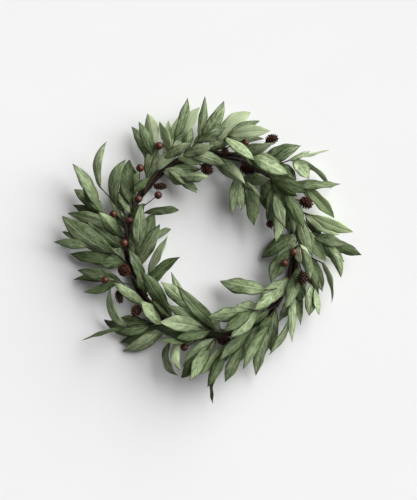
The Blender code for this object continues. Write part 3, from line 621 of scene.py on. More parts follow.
# Stems and stalks


def bow(start, middle, end):
    """A few points of the smooth bow from start to end that leans towards middle."""
    shares = [i / (BOW_POINTS - 1) for i in range(BOW_POINTS)]
    return [start * (1 - t) ** 2 + middle * 2 * t * (1 - t) + end * t * t for t in shares]


def stem_line(root, start, stem, rise):
    """The line of a stem: along the ring where it is bound, then off to its tip."""
    end = picture_point(stem.x, stem.y, rise)
    turn_off = start + heading_vector(root - 90) * (end - start).length * TURN_OFF_AT
    turn_off.z = start.z + (rise - start.z) * TURN_OFF_RISE
    return bow(start, turn_off, end)


def stem_lines(spray, lift, root, start):
    """The lines of a spray's stems: the first from the start, the others from a fork in it."""
    lines = []
    for stem in spray.stems:
        fork = along_line(lines[0], FORK_AT) if lines else start
        lines.append(stem_line(root, fork, stem, max(LOWEST_TIP, stem.rise + lift)))
    return lines


def stalk_line(start, end, arch):
    """A thin stalk from the canes that arches up to what it carries."""
    return bow(start, start.lerp(end, 0.5) + UP * (arch * (end - start).length), end)


def sleeves(lines, radius):
    """Sleeves round rods of that radius, with the room that others leave them."""
    return [sleeve(line, radius + CLEARANCE) for line in lines]


def snug_lines(root, seat, radius, lines_from, canes):
    """The lines from the start nearest to the canes at which they are clear of them, or None."""
    distance = CANE_ORBIT
    while distance < CANE_ORBIT + 3 * CANE_RADIUS:
        lines = lines_from(seat_point(root, seat, distance))
        if all_clear(sleeves(lines, radius), canes):
            return lines
        distance += FIT_STEP
    return None


def bound_lines(piece, ways, radius, lines_for, canes, others):
    """Lines from one place beside the canes, reshaped or moved until all are clear.

    lines_for gives the lines for a form out of ways, an angle of the ring and a start.
    """
    for form, shift, step in product(ways.forms, ways.shifts, ways.steps):
        root, seat = piece.root + step, piece.seat + shift
        if not ways.seats[0] <= seat <= ways.seats[1]:
            continue
        lines = snug_lines(root, seat, radius, lambda start: lines_for(form, root, start), canes)
        if lines and all_clear(sleeves(lines, radius), others):
            return lines
    raise ValueError(f"no room beside the canes at {piece.root} degrees")


def bound_stems(spray, canes, others):
    """The lines of a spray's stems, bound beside the canes."""

    def lines_for(lift, root, start):
        return stem_lines(spray, lift, root, start)

    return bound_lines(spray, STEM_WAYS, STEM_RADIUS, lines_for, canes, others)


def bound_stalks(piece, ends, radius, canes, others):
    """The lines of the stalks from a twig's or a cone's place beside the canes to those ends."""

    def lines_for(arch, root, start):
        return [stalk_line(start, end, arch) for end in ends]

    return bound_lines(piece, STALK_WAYS, radius, lines_for, canes, others)


def along_line(points, t):
    """The point at share t of a line of points."""
    span = t * (len(points) - 1)
    i = min(int(span), len(points) - 2)
    return points[i].lerp(points[i + 1], span - i)


# Leaves


def outline(s, half_width):
    """A leaf's width at share s of its length, as a share of its widest. Broad leaves are blunter."""
    tip = BLUNT_TIP if half_width > BROAD_LEAF else FINE_TIP
    peak = LEAF_BASE / (LEAF_BASE + tip)
    return (s / peak) ** LEAF_BASE * ((1 - s) / (1 - peak)) ** tip


def midrib(leaf):
    """Points and (left, up) pairs along the midrib, an arc that droops, curls and rolls."""
    points, sides = [leaf.root.copy()], []
    step = leaf.length / ARC_STEPS
    roll = math.radians(leaf.roll)
    c, n = math.cos(roll), math.sin(roll)
    for i in range(ARC_STEPS + 1):
        s = i / ARC_STEPS
        bearing = leaf.bearing + leaf.curl * (s - CURL_CENTRE)
        elevation = leaf.lift - leaf.droop * s
        forward = heading_vector(bearing, elevation)
        left = heading_vector(bearing + 90)
        up = forward.cross(left)
        sides.append((left * c + up * n, up * c - left * n))
        if i < ARC_STEPS:
            middle = heading_vector(
                leaf.bearing + leaf.curl * (s + 0.5 / ARC_STEPS - CURL_CENTRE),
                leaf.lift - leaf.droop * (s + 0.5 / ARC_STEPS),
            )
            points.append(points[-1] + middle * step)
    return points, sides


def leaf_shape(leaf, skip=0):
    """The blade with its raised midrib, grown all round, less the first stations from its root."""
    spread = 2 * CLEARANCE
    points, sides = midrib(leaf)
    corners = []
    for s in LEAF_STATIONS[skip:]:
        i = round(s * ARC_STEPS)
        left, up = sides[i]
        width = PETIOLE_HALF_WIDTH
        if s:
            width = max(width, leaf.half_width * outline(s, leaf.half_width))
        ridge = LEAF_THICKNESS * RIDGE_SHARE + LEAF_FOLD * width + spread
        edge = -LEAF_THICKNESS * (1 - RIDGE_SHARE) - spread
        corners += [
            points[i] + left * (width + spread) + up * edge,
            points[i] + up * ridge,
            points[i] - left * (width + spread) + up * edge,
        ]
    corners.append(points[-1] + (points[-1] - points[-2]).normalized() * spread)
    return solid_shape(corners, loft_faces(len(LEAF_STATIONS) - skip, 3, pointed=True))


def leaf_draft(draw, root, tip_x, tip_y, width, curl=None):
    """A leaf from its root on the stem to over its tip in the picture, as wide as it shows there."""
    roll = draw.uniform(*ROLLS) if width > THIN_LEAF else draw.choice((-1, 1)) * draw.uniform(*THIN_ROLLS)
    curl = draw.uniform(*CURLS) if curl is None else curl
    half_width = width * PIXEL / 2 / math.cos(math.radians(roll))
    leaf = Leaf(
        root=root,
        bearing=0.0,
        lift=draw.uniform(*LIFTS),
        droop=draw.uniform(*DROOPS),
        curl=curl,
        roll=roll,
        length=1.0,
        half_width=half_width,
    )
    return reaching(leaf, picture_point(tip_x, tip_y, 0.0))


def reaching(leaf, tip):
    """The leaf turned and scaled so that its tip comes over that point of the plan."""
    points, _ = midrib(leaf)
    chord = points[-1] - leaf.root
    wanted = tip - leaf.root
    turn = math.atan2(wanted.y, wanted.x) - math.atan2(chord.y, chord.x)
    scale = math.hypot(wanted.x, wanted.y) / math.hypot(chord.x, chord.y)
    return leaf._replace(bearing=leaf.bearing + math.degrees(turn), length=leaf.length * scale)


def settled_leaf(draw, draft, own, others):
    """The draft, or the first leaf tried near it that is clear of all others, or None."""
    tip = midrib(draft)[0][-1]
    for attempt in range(LEAF_TRIES):
        ease = attempt / LEAF_TRIES
        strayed = {
            name: getattr(draft, name) + ease * draw.uniform(*stray)
            for name, stray in LEAF_STRAY.items()
        }
        leaf = draft._replace(**strayed)
        aim = draft.root.lerp(tip, 1 - LEAF_SHRINK * ease * draw.random())
        sway = ease * LEAF_SWAY
        aim += Vector((draw.uniform(-sway, sway), draw.uniform(-sway, sway), 0.0))
        leaf = reaching(leaf, aim)
        blade = leaf_shape(leaf, skip=1)
        if blade[0][2] < LEAF_FLOOR or blade[1][2] > LEAF_CEILING:
            continue
        if clear_of(blade, own) and clear_of(leaf_shape(leaf), others):
            return leaf
    return None


def settled_leaves(spray_lines, others):
    """The settled leaves of each spray, placed in turn: the first leaf of each, then the second..."""
    wanted = [[(line, leaf) for stem, line in zip(spray.stems, lines) for leaf in stem.leaves]
              for spray, lines in zip(SPRAYS, spray_lines)]
    draws = [random.Random(number) for number in range(len(SPRAYS))]
    settled = [[] for _ in SPRAYS]
    blades = [[] for _ in SPRAYS]
    whole = [sleeves(lines, STEM_RADIUS) for lines in spray_lines]
    for turn in range(max(len(group) for group in wanted)):
        for i, group in enumerate(wanted):
            if turn >= len(group):
                continue
            line, (share, *reading) = group[turn]
            root = along_line(line, min(share, LAST_LEAF_AT) - draws[i].uniform(0.0, 0.04))
            root += Vector([draws[i].uniform(-ROOT_SCATTER, ROOT_SCATTER) for _ in range(3)])
            foreign = others + [shape for j, shapes in enumerate(whole) if j != i for shape in shapes]
            leaf = settled_leaf(draws[i], leaf_draft(draws[i], root, *reading), blades[i], foreign)
            if leaf:
                settled[i].append(leaf)
                blades[i].append(leaf_shape(leaf, skip=1))
                whole[i].append(leaf_shape(leaf))
    return settled


# Berries and cones


def settled_head(make_shape, others):
    """The least offset at which a berry or cone is clear of all others."""
    offsets = [Vector(move) for move in product(HEAD_STEPS, HEAD_STEPS, HEAD_STEPS + HEAD_LIFTS)]
    for offset in sorted(offsets, key=lambda o: o.length):
        shape = make_shape(offset)
        if shape[0][2] >= LEAF_FLOOR and clear_of(shape, others):
            return offset, shape
    raise ValueError("no room for a berry or cone")


def sight_column(centre, radius):
    """What leaves keep out of, so that a berry or cone shows from the front."""
    top = Vector((centre.x, centre.y, SIGHT_TOP))
    return sleeve([centre, top], radius)


def cone_centreline(cone, offset):
    centre = picture_point(cone.x, cone.y, cone.z) + offset
    axis = heading_vector(cone.bearing, cone.pitch)
    return centre - axis * cone.length / 2, axis


def cone_shape(cone, offset):
    base, axis = cone_centreline(cone, offset)
    return sleeve([base, base + axis * cone.length], cone.radius * CONE_ROOM)


def berry_shape(berry, offset):
    centre = picture_point(*berry) + offset
    pole = UP * BERRY_RADIUS
    return sleeve([centre - pole, centre + pole], BERRY_RADIUS * BERRY_ROOM)


def tie_places(spray_lines, others, canes):
    """The corners of each wire tie, and their shapes."""
    ties = []
    shapes = []
    last = -TIE_SPACING
    step = 360 // (CANE_COUNT * CANE_TWISTS)
    for angle in range(FIRST_TIE, 360, step):
        for turn in TIE_TURNS:
            corners = tie_corners(angle + turn, spray_lines)
            shape = sleeve(corners + corners[:1], WIRE_RADIUS)
            if angle - last >= TIE_SPACING and clear_of(shape, others + canes):
                ties.append(corners)
                shapes.append(shape)
                last = angle
    return ties, shapes


def twig_places(twig, others, canes):
    """A twig's berries and stalks, their shapes, and the columns that leaves keep out of."""
    ends = []
    heads = []
    for berry in twig.berries:
        offset, shape = settled_head(lambda o: berry_shape(berry, o), others + canes + heads)
        ends.append(picture_point(*berry) + offset)
        heads.append(shape)
    lines = bound_stalks(twig, ends, TWIG_RADIUS, canes, others)
    columns = [sight_column(end, BERRY_RADIUS * BERRY_SIGHT) for end in ends]
    return (ends, lines), sleeves(lines, TWIG_RADIUS) + heads, columns


def cone_places(cone, others, canes):
    """A cone's base, axis and stalk, their shapes, and the column that leaves keep out of."""
    offset, shape = settled_head(lambda o: cone_shape(cone, o), others + canes)
    base, axis = cone_centreline(cone, offset)
    end = base + axis * cone.length * STALK_INTO_CONE
    lines = bound_stalks(cone, [end], CONE_STALK_RADIUS, canes, others)
    column = sight_column(base + axis * cone.length / 2, cone.radius * CONE_SIGHT)
    return (base, axis, lines[0]), [shape] + sleeves(lines, CONE_STALK_RADIUS), [column]


def laid_out():
    """Where every stem, tie, berry, cone and leaf lies, found in the same order as the solids."""
    canes = [plain_cane(cane) for cane in range(CANE_COUNT)]
    spray_lines = []
    stem_shapes = []
    for spray in SPRAYS:
        lines = bound_stems(spray, canes, stem_shapes)
        spray_lines.append(lines)
        stem_shapes += sleeves(lines, STEM_RADIUS)
    ties, fixed = tie_places(spray_lines, stem_shapes, canes)
    kept_open = []
    places = []
    for find, heads in ((twig_places, TWIGS), (cone_places, CONES)):
        for head in heads:
            found, shapes, columns = find(head, stem_shapes + fixed, canes)
            places.append(found)
            fixed += shapes
            kept_open += columns
    leaves = settled_leaves(spray_lines, fixed + kept_open + canes)
    return Layout(spray_lines, ties, places[:len(TWIGS)], places[len(TWIGS):], leaves)


# Modelling helpers


def deselect():
    bpy.ops.object.select_all(action="DESELECT")


def own_copy(pattern, name):
    """A copy of the pattern with a mesh of its own."""
    obj = bpy.data.objects.new(name, pattern.data.copy())
    bpy.context.scene.collection.objects.link(obj)
    return obj


def points_of(obj):
    flat = np.empty(len(obj.data.vertices) * 3)
    obj.data.vertices.foreach_get("co", flat)
    return flat.reshape(-1, 3)


def move_points(obj, points):
    obj.data.vertices.foreach_set("co", np.asarray(points).ravel())
    obj.data.update()


def mark_points(obj, name, values):
    """Keeps a number at each point, for the material to read."""
    layer = obj.data.attributes.new(name, "FLOAT", "POINT")
    layer.data.foreach_set("value", np.broadcast_to(values, len(obj.data.vertices)).astype(np.float32))


def coat(objects, finish):
    for obj in objects:
        obj.data.materials.append(finish)


def facing(axis):
    """The turn that brings Z to the axis."""
    return axis.to_track_quat("Z", "Y").to_matrix().to_4x4()


def one_piece(name, objects):
    """The objects joined into one smooth-shaded piece."""
    deselect()
    for obj in objects:
        obj.select_set(True)
    bpy.context.view_layer.objects.active = objects[0]
    if len(objects) > 1:
        bpy.ops.object.join()
    piece = bpy.context.view_layer.objects.active
    piece.name = name
    piece.data.name = name
    bpy.ops.object.shade_smooth()
    deselect()
    return piece


def rod(name, points, radii, sides, closed=False, relief=0.0):
    """A round rod along a line of points. Its UV map runs in metres along and round it."""
    points = [Vector(p) for p in points]
    count = len(points)
    side = None
    verts = []
    runs = [0.0]
    for i, p in enumerate(points):
        before = points[i - 1] if closed or i else p
        after = points[(i + 1) % count] if closed or i < count - 1 else p
        along = (after - before).normalized()
        if side is None:
            side = along.cross(UP)
            if side.length < 0.1:
                side = along.cross(Vector((1.0, 0.0, 0.0)))
        side = (side - along * side.dot(along)).normalized()
        other = along.cross(side)
        if i:
            runs.append(runs[-1] + (p - points[i - 1]).length)
        for turn in round_turns(sides):
            x, y = math.cos(turn), math.sin(turn)
            rough = relief * noise.noise(Vector((runs[i] * LUMP_ALONG, x * LUMP_ROUND, y * LUMP_ROUND)))
            verts.append(p + (side * x + other * y) * radii[i] * (1 + rough))
    runs.append(runs[-1] + (points[0] - points[-1]).length)
    faces = []
    maps = []
    for i in range(count if closed else count - 1):
        for s in range(sides):
            n, t = (i + 1) % count, (s + 1) % sides
            faces.append((i * sides + s, i * sides + t, n * sides + t, n * sides + s))
            facet = 2 * math.pi * radii[i] / sides
            near, far = s * facet, (s + 1) * facet
            maps += [(runs[i], near), (runs[i], far), (runs[i + 1], far), (runs[i + 1], near)]
    if not closed:
        faces.append(tuple(range(sides - 1, -1, -1)))
        maps += [(0.0, 0.0)] * sides
        faces.append(tuple(range((count - 1) * sides, count * sides)))
        maps += [(runs[count - 1], 0.0)] * sides
    mesh = bpy.data.meshes.new(name)
    mesh.from_pydata([tuple(v) for v in verts], [], faces)
    layer = mesh.uv_layers.new(name="UVMap")
    layer.data.foreach_set("uv", np.array(maps).ravel())
    obj = bpy.data.objects.new(name, mesh)
    bpy.context.scene.collection.objects.link(obj)
    return obj


def arch_point(p0, p1, p2, p3, f):
    """The point at share f from p1 to p2, on the smooth arch through all four."""
    b = p2 - p0
    c = p0 * 2 - p1 * 5 + p2 * 4 - p3
    d = p1 * 3 - p0 - p2 * 3 + p3
    return (p1 * 2 + b * f + c * f * f + d * f * f * f) * 0.5


def arch_points(points, count):
    """More points on the smooth arch through a run of evenly spaced points."""
    steps = len(points) - 1
    out = []
    for k in range(count):
        t = k / (count - 1) * steps
        i = min(int(t), steps - 1)
        near = [points[min(max(i + j, 0), steps)] for j in (-1, 0, 1, 2)]
        out.append(arch_point(*near, t - i))
    return out


# Materials


def material_tree(name, **values):
    """A new material, its node tree and its shader, with the plain values set on the shader."""
    material = bpy.data.materials.new(name)
    material.use_nodes = True
    tree = material.node_tree
    shader = tree.nodes["Principled BSDF"]
    for key, value in values.items():
        shader.inputs[key.replace("_", " ")].default_value = value
    return material, tree, shader


def add_node(tree, kind, **settings):
    """A node of that kind with its properties and the values of its unlinked inputs set."""
    made = tree.nodes.new(kind)
    for key, value in settings.items():
        if hasattr(made, key):
            setattr(made, key, value)
        else:
            made.inputs[key.replace("_", " ")].default_value = value
    return made


def noise_at(tree, vector, scale, detail=4.0, roughness=0.55):
    made = add_node(tree, "ShaderNodeTexNoise", Scale=scale, Detail=detail, Roughness=roughness)
    tree.links.new(vector, made.inputs["Vector"])
    return made.outputs["Fac"]


def spot_on(tree, way="Object"):
    """Where a point lies on its piece."""
    return add_node(tree, "ShaderNodeTexCoord").outputs[way]


def marked(tree, name):
    """The number kept at each point under that name."""
    return add_node(tree, "ShaderNodeAttribute", attribute_name=name).outputs["Fac"]


def math_of(tree, operation, *values):
    made = add_node(tree, "ShaderNodeMath", operation=operation)
    for slot, value in zip(made.inputs, values):
        if isinstance(value, (int, float)):
            slot.default_value = value
        else:
            tree.links.new(value, slot)
    return made.outputs[0]


def times(tree, a, b):
    return math_of(tree, "MULTIPLY", a, b)


def between(tree, value, low, high, out_low=0.0, out_high=1.0):
    """The value's share of the way from low to high, smoothly, as out_low to out_high."""
    made = add_node(tree, "ShaderNodeMapRange", interpolation_type="SMOOTHSTEP")
    tree.links.new(value, made.inputs["Value"])
    for key, number in zip(("From Min", "From Max", "To Min", "To Max"), (low, high, out_low, out_high)):
        made.inputs[key].default_value = number
    return made.outputs["Result"]


def blended(tree, share, first, second, mode="MIX"):
    """A colour between first and second, each a colour or a socket."""
    made = add_node(tree, "ShaderNodeMix", data_type="RGBA", blend_type=mode)
    # The node's colours are its inputs 6 and 7, and its blended colour is its output 2.
    for number, value in ((0, share), (6, first), (7, second)):
        slot = made.inputs[number]
        if isinstance(value, (int, float)):
            slot.default_value = value
        elif isinstance(value, tuple):
            slot.default_value = (*value, 1.0)
        else:
            tree.links.new(value, slot)
    return made.outputs[2]


def painted(tree, shader, colour, roughness):
    tree.links.new(colour, shader.inputs["Base Color"])
    tree.links.new(roughness, shader.inputs["Roughness"])


def bumped(tree, shader, height, distance, strength):
    made = add_node(tree, "ShaderNodeBump", Distance=distance, Strength=strength)
    tree.links.new(height, made.inputs["Height"])
    tree.links.new(made.outputs["Normal"], shader.inputs["Normal"])


def leaf_mottle(tree, along, across):
    """Broad blotches and finer ones, stretched along the side veins and different on each leaf."""
    stretched = add_node(tree, "ShaderNodeCombineXYZ")
    along = times(tree, along, MOTTLE_ALONG)
    across = times(tree, across, MOTTLE_ACROSS)
    for slot, value in zip(stretched.inputs, (along, across, marked(tree, "seed"))):
        tree.links.new(value, slot)
    blotch = noise_at(tree, stretched.outputs[0], 1.0, 4.0, 0.55)
    return blotch, noise_at(tree, stretched.outputs[0], 2.3, 3.0, 0.5)


def leaf_finish():
    """Matt grey-green leaf: mottled, with a pale midrib, faint side veins, a paler back, and painted light
    and shade from its marked tone.
    """
    material, tree, shader = material_tree("leaf_blade", IOR=1.4, Specular_IOR_Level=0.28)
    uv = add_node(tree, "ShaderNodeSeparateXYZ")
    tree.links.new(spot_on(tree, "UV"), uv.inputs[0])
    along, across = uv.outputs["X"], uv.outputs["Y"]
    # The marked tone: each leaf's own tone, with painted shade low in the wreath and painted light high in
    # it and towards the top of the picture
    own = marked(tree, "tone_and_painted_shade")
    off = times(tree, math_of(tree, "ABSOLUTE", math_of(tree, "SUBTRACT", across, 0.5)), 2.0)
    slant = math_of(tree, "SUBTRACT", along, times(tree, off, VEIN_SLANT))
    blotch, fine = leaf_mottle(tree, slant, across)
    grain = noise_at(tree, spot_on(tree), 400.0, 3.0, 0.6)
    bend = math_of(tree, "ADD", slant, times(tree, blotch, 0.10))
    wave = math_of(tree, "SINE", times(tree, bend, VEIN_PAIRS * 2 * math.pi))
    vein = times(tree, between(tree, wave, 0.80, 1.0), between(tree, fine, 0.35, 0.60, 0.2, 1.0))
    rib = between(tree, off, 0.03, 0.12, 1.0, 0.0)

    colour = blended(tree, between(tree, blotch, 0.34, 0.56, 0.12, 1.0), LEAF_GREEN, LEAF_SAGE)
    layers = (
        (between(tree, blotch, 0.50, 0.70, 0.0, 0.65), LEAF_PALE),
        (between(tree, fine, 0.32, 0.50, 0.42, 0.0), LEAF_DEEP),
        (between(tree, fine, 0.52, 0.66, 0.0, 0.35), LEAF_PALE),
        (between(tree, grain, 0.50, 0.66, 0.0, 0.30), LEAF_DEEP),
        (times(tree, vein, 0.12), LEAF_PALE),
        (times(tree, rib, 0.60), LEAF_PALE),
        (between(tree, off, 0.72, 0.97, 0.0, 0.65), LEAF_DEEP),
        (between(tree, along, 0.86, 1.0, 0.0, 0.60), LEAF_DEEP),
        (times(tree, marked(tree, "under"), 0.25), LEAF_PALE),
        # Painted light: leaves with a high marked tone are paler, partly their own paler tone
        (between(tree, own, 0.70, 1.0, 0.0, 0.70), LEAF_PALE),
        # Painted light on the leaves that are turned from the light and still show bright
        (times(tree, marked(tree, "painted_light"), 0.60), LEAF_PAINTED_LIGHT),
    )
    for share, shade in layers:
        colour = blended(tree, share, colour, shade)
    # Painted shade: leaves with a low marked tone are darkened, partly their own darker tone
    colour = blended(tree, between(tree, own, 0.0, 0.60, 0.90, 0.0), colour, LEAF_SHADE, "MULTIPLY")
    colour = blended(tree, between(tree, along, 0.0, 0.16, 0.60, 0.0), colour, STALK_BROWN)
    painted(tree, shader, colour, between(tree, blotch, 0.3, 0.7, 0.48, 0.70))
    height = math_of(tree, "SUBTRACT", blotch, times(tree, vein, 0.2))
    height = math_of(tree, "SUBTRACT", height, times(tree, rib, 0.5))
    bumped(tree, shader, height, 0.0010, 0.8)
    return material


def bark_finish(name, dark, light, grain):
    """Rough bark, streaked along the wood, with pale specks."""
    material, tree, shader = material_tree(name, Specular_IOR_Level=0.3)
    stretch = add_node(tree, "ShaderNodeMapping", Scale=(grain * GRAIN_STRETCH, grain, grain))
    tree.links.new(spot_on(tree, "UV"), stretch.inputs["Vector"])
    streak = noise_at(tree, stretch.outputs["Vector"], 1.0, 5.0, 0.6)
    speck = between(tree, noise_at(tree, spot_on(tree), 900.0, 2.0), 0.66, 0.74)
    colour = blended(tree, between(tree, streak, 0.35, 0.68), dark, light)
    colour = blended(tree, times(tree, speck, 0.5), colour, BARK_SPECK)
    painted(tree, shader, colour, between(tree, streak, 0.3, 0.7, 0.85, 0.6))
    bumped(tree, shader, streak, 0.0008, 0.9)
    return material


def berry_finish():
    """Satin russet skin, darker in the hollows, with fine wrinkles."""
    shine = {"IOR": 1.45, "Specular_IOR_Level": 0.3, "Coat_Weight": 0.22, "Coat_Roughness": 0.22}
    material, tree, shader = material_tree("berry_skin", **shine)
    patch = noise_at(tree, spot_on(tree), 110.0, 3.0)
    fine = noise_at(tree, spot_on(tree), 700.0, 4.0, 0.6)
    colour = blended(tree, between(tree, patch, 0.35, 0.65), BERRY_DARK, BERRY_RED)
    colour = blended(tree, times(tree, between(tree, fine, 0.5, 0.7), 0.35), colour, BERRY_PALE)
    colour = blended(tree, marked(tree, "crown"), colour, CROWN_BROWN)
    painted(tree, shader, colour, between(tree, fine, 0.3, 0.7, 0.32, 0.55))
    bumped(tree, shader, fine, 0.0003, 0.6)
    return material


def cone_finish():
    """Woody red-brown scales, paler and worn towards their rims."""
    material, tree, shader = material_tree("cone_scales", Specular_IOR_Level=0.2)
    grain = noise_at(tree, spot_on(tree), 500.0, 4.0, 0.6)
    colour = blended(tree, between(tree, marked(tree, "rim"), 0.45, 1.0), CONE_DEEP, CONE_BROWN)
    colour = blended(tree, times(tree, between(tree, grain, 0.5, 0.7), 0.4), colour, CONE_PALE)
    painted(tree, shader, colour, between(tree, grain, 0.3, 0.7, 0.45, 0.7))
    bumped(tree, shader, grain, 0.0005, 0.8)
    return material


def wire_finish():
    """Dull brown wire with worn brighter specks."""
    material, tree, shader = material_tree("binding_wire", Metallic=0.7)
    wear = noise_at(tree, spot_on(tree), 600.0, 3.0)
    colour = blended(tree, between(tree, wear, 0.5, 0.7), WIRE_BROWN, WIRE_WORN)
    painted(tree, shader, colour, between(tree, wear, 0.3, 0.7, 0.6, 0.35))
    return material


def floor_finish():
    """Plain pale board with the faintest mottle."""
    material, tree, shader = material_tree("pale_floor", Roughness=0.9, Specular_IOR_Level=0.1)
    cloud = between(tree, noise_at(tree, spot_on(tree), 3.0, 2.0), 0.3, 0.7)
    tree.links.new(blended(tree, cloud, FLOOR_PALE, FLOOR_WHITE), shader.inputs["Base Color"])
    return material


# Leaves and stems


def blade_pattern():
    """A flat leaf: X runs from 0 at its root to 1 at its tip, Y from -1 to 1 across it.

    Z runs from -0.5 to 0.5 through its thickness.
    """
    deselect()
    steps = {"x_subdivisions": BLADE_STEPS, "y_subdivisions": BLADE_COLUMNS}
    bpy.ops.mesh.primitive_grid_add(size=1, location=(0.5, 0, 0), **steps)
    blade = bpy.context.object
    blade.name = "blade_pattern"
    bpy.ops.object.mode_set(mode="EDIT")
    bpy.ops.mesh.select_all(action="SELECT")
    bpy.ops.transform.resize(value=(1, 2, 1), center_override=(0.5, 0, 0))
    bpy.ops.object.mode_set(mode="OBJECT")
    bpy.ops.object.transform_apply(location=True, rotation=True, scale=True)
    shell = blade.modifiers.new("thickness", "SOLIDIFY")
    shell.thickness = 1.0
    shell.offset = 0.0
    bpy.ops.object.modifier_apply(modifier=shell.name)
    deselect()
    return blade


def near_any(point, positions):
    """Whether the point lies over one of those picture positions."""
    return any((point - picture_point(x, y, point.z)).length < TIP_REACH for x, y in positions)


def leaf_tone(tip, draw):
    """How light a leaf is by where its tip lies, partly its own tone and partly painted light and shade,
    before the painted shade and light of its depth are added.
    """
    for tips, tones in LISTED_TONES:
        if near_any(tip, tips):
            return draw.uniform(*tones)
    return draw.uniform(*OTHER_TONES)


def blade_half_width(s, leaf):
    """The blade's half-width at shares s of its length: its solid's, with a sharper tip."""
    wide = outline(s, leaf.half_width)
    taper = outline(TAPER_FROM, leaf.half_width) * ((1 - s) / (1 - TAPER_FROM)) ** TAPER_POWER
    eased = (1 + (wide / np.maximum(taper, 1e-6)) ** TAPER_BLEND) ** (-1 / TAPER_BLEND)
    return np.maximum(leaf.half_width * wide * eased, np.where(s < 0.5, PETIOLE_HALF_WIDTH, BLADE_TIP))


def tone_with_painted_shade(leaf, s, heights, tip, draw):
    """How light the leaf is at shares s of its length, at those heights, from 0 to 1: its tone, with painted
    shade low in the wreath and painted light high in it and towards the top of the picture.
    """
    depth = np.clip(heights / MIDDLE_HEIGHT - 1.0, -1.0, 1.0)
    # Painted shade below the wreath's middle height and painted light above it
    tone = leaf_tone(tip, draw) + PAINTED_DEPTH_SHADE * depth + (s - 0.5) * draw.uniform(*TONE_SLOPES)
    # Painted light towards the top of the picture
    tone += PAINTED_TOP_LIGHT * (leaf.root.y - RING_CENTRE.y) / RING_RADIUS
    return np.clip(tone, 0.0, 1.0)


def bent_blade(pattern, leaf, draw):
    """A copy of the pattern bent along the leaf's midrib, arched across it and waved at its rims."""
    blade = own_copy(pattern, "blade")
    s, w, t = points_of(blade).T
    s = np.clip(s, 0.0, 1.0)
    off = np.abs(w)
    points, sides = midrib(leaf)
    stations = np.linspace(0.0, 1.0, ARC_STEPS + 1)
    lines = [np.array(group) for group in (points, [a for a, _ in sides], [b for _, b in sides])]
    middle, left, up = (
        np.stack([np.interp(s, stations, line[:, k]) for k in range(3)], 1) for line in lines)

    half = blade_half_width(s, leaf)
    blade_share = np.clip((s - STALK_END * 0.5) / STALK_END, 0.0, 1.0)
    arch = BLADE_ARCH * draw.uniform(0.2, 1.2)
    fold = BLADE_FOLD * draw.uniform(-0.8, 1.0)
    turns, lag = draw.uniform(1.3, 2.6), draw.uniform(0.0, 1.0)
    wave = np.sin(2 * math.pi * (turns * s + lag + 0.35 * np.sign(w))) * WAVE_HEIGHT * draw.uniform(0.3, 1.2)
    height = half * (arch * (1 - off ** 1.7) + fold * (0.5 - off))
    height += wave * off ** 3 * np.minimum(1.0, half / WAVED_WIDTH)
    height -= CREASE_DEPTH * np.exp(-((w / CREASE_WIDTH) ** 2)) * blade_share
    rim = 1 + RIM_WAVE * np.sin(2 * math.pi * (turns * 1.3 * s + lag + 0.5 * np.sign(w)))
    across = w * half * np.where(off > 0.5, rim, 1.0)
    twist = (s - 0.45) * draw.uniform(-1.0, 1.0) * BLADE_TWIST
    c, n = np.cos(twist), np.sin(twist)
    across, height = across * c - height * n, across * n + height * c
    thickness = BLADE_THICKNESS * (1 - 0.4 * off) * blade_share + STALK_THICKNESS * (1 - blade_share)
    move_points(blade, middle + left * across[:, None] + up * (height + t * thickness)[:, None])
    # Marks for the leaf's material: its tone with painted shade and light, its mottle seed, painted light
    # where listed, and its back
    mark_points(blade, "tone_and_painted_shade", tone_with_painted_shade(leaf, s, middle[:, 2], points[-1], draw))
    mark_points(blade, "seed", draw.uniform(0.0, 80.0))
    mark_points(blade, "painted_light", float(near_any(points[-1], PAINTED_LIGHT_TIPS)))
    mark_points(blade, "under", (t < 0).astype(float))
    return blade


def fine_stem(name, line, leaves_on):
    """A round stem that tapers, and swells a little where its leaves sit."""
    points = arch_points(line, FINE_STEM_POINTS)
    radii = []
    for i, p in enumerate(points):
        share = i / (FINE_STEM_POINTS - 1)
        radius = STEM_RADIUS + (STEM_TIP_RADIUS - STEM_RADIUS) * share
        near = min(((p - leaf.root).length for leaf in leaves_on), default=1.0)
        radii.append(radius * (1 + LEAF_NODE_SWELL * math.exp(-((near / LEAF_NODE_LENGTH) ** 2))))
    return rod(name, points, radii, STEM_SIDES, relief=BARK_RELIEF)


def dress_spray(number, lines, leaves, pattern, finishes):
    """One leafy spray: fine blades on thin barked stems."""
    draw = random.Random(SPRAY_SEED + number)
    blades = [bent_blade(pattern, leaf, draw) for leaf in leaves]
    coat(blades, finishes["leaf"])
    stems = [fine_stem("stem", line, leaves) for line in lines]
    coat(stems, finishes["stem"])
    spray = one_piece(f"spray_{number:02d}", blades + stems)
    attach(spray, "root")
    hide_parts(f"leafy_spray_{number:02d}")


# Canes and wire


def dress_cane(cane, finishes):
    """A cane with knots and rough bark, flat where it lies on the table."""
    draw = random.Random(CANE_SEED + cane)
    knots = []
    at = draw.uniform(4, 12)
    while at < FINE_CANE_POINTS:
        knots.append(at)
        at += draw.uniform(*KNOT_GAPS)
    radii = []
    for i in range(FINE_CANE_POINTS):
        swell = sum(KNOT_SWELL * math.exp(-(((i - knot) / KNOT_REACH) ** 2)) for knot in knots)
        radii.append(CANE_RADIUS * (0.97 + swell))
    name = f"bark_cane_{cane + 1}"
    piece = rod(name, cane_line(cane, FINE_CANE_POINTS), radii, CANE_SIDES, relief=CANE_RELIEF)
    lifted = points_of(piece)
    lifted[:, 2] = np.maximum(lifted[:, 2], 0.0)
    move_points(piece, lifted)
    coat([piece], finishes["cane"])
    piece = one_piece(name, [piece])
    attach(piece, "root")
    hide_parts(f"cane_{cane + 1}")


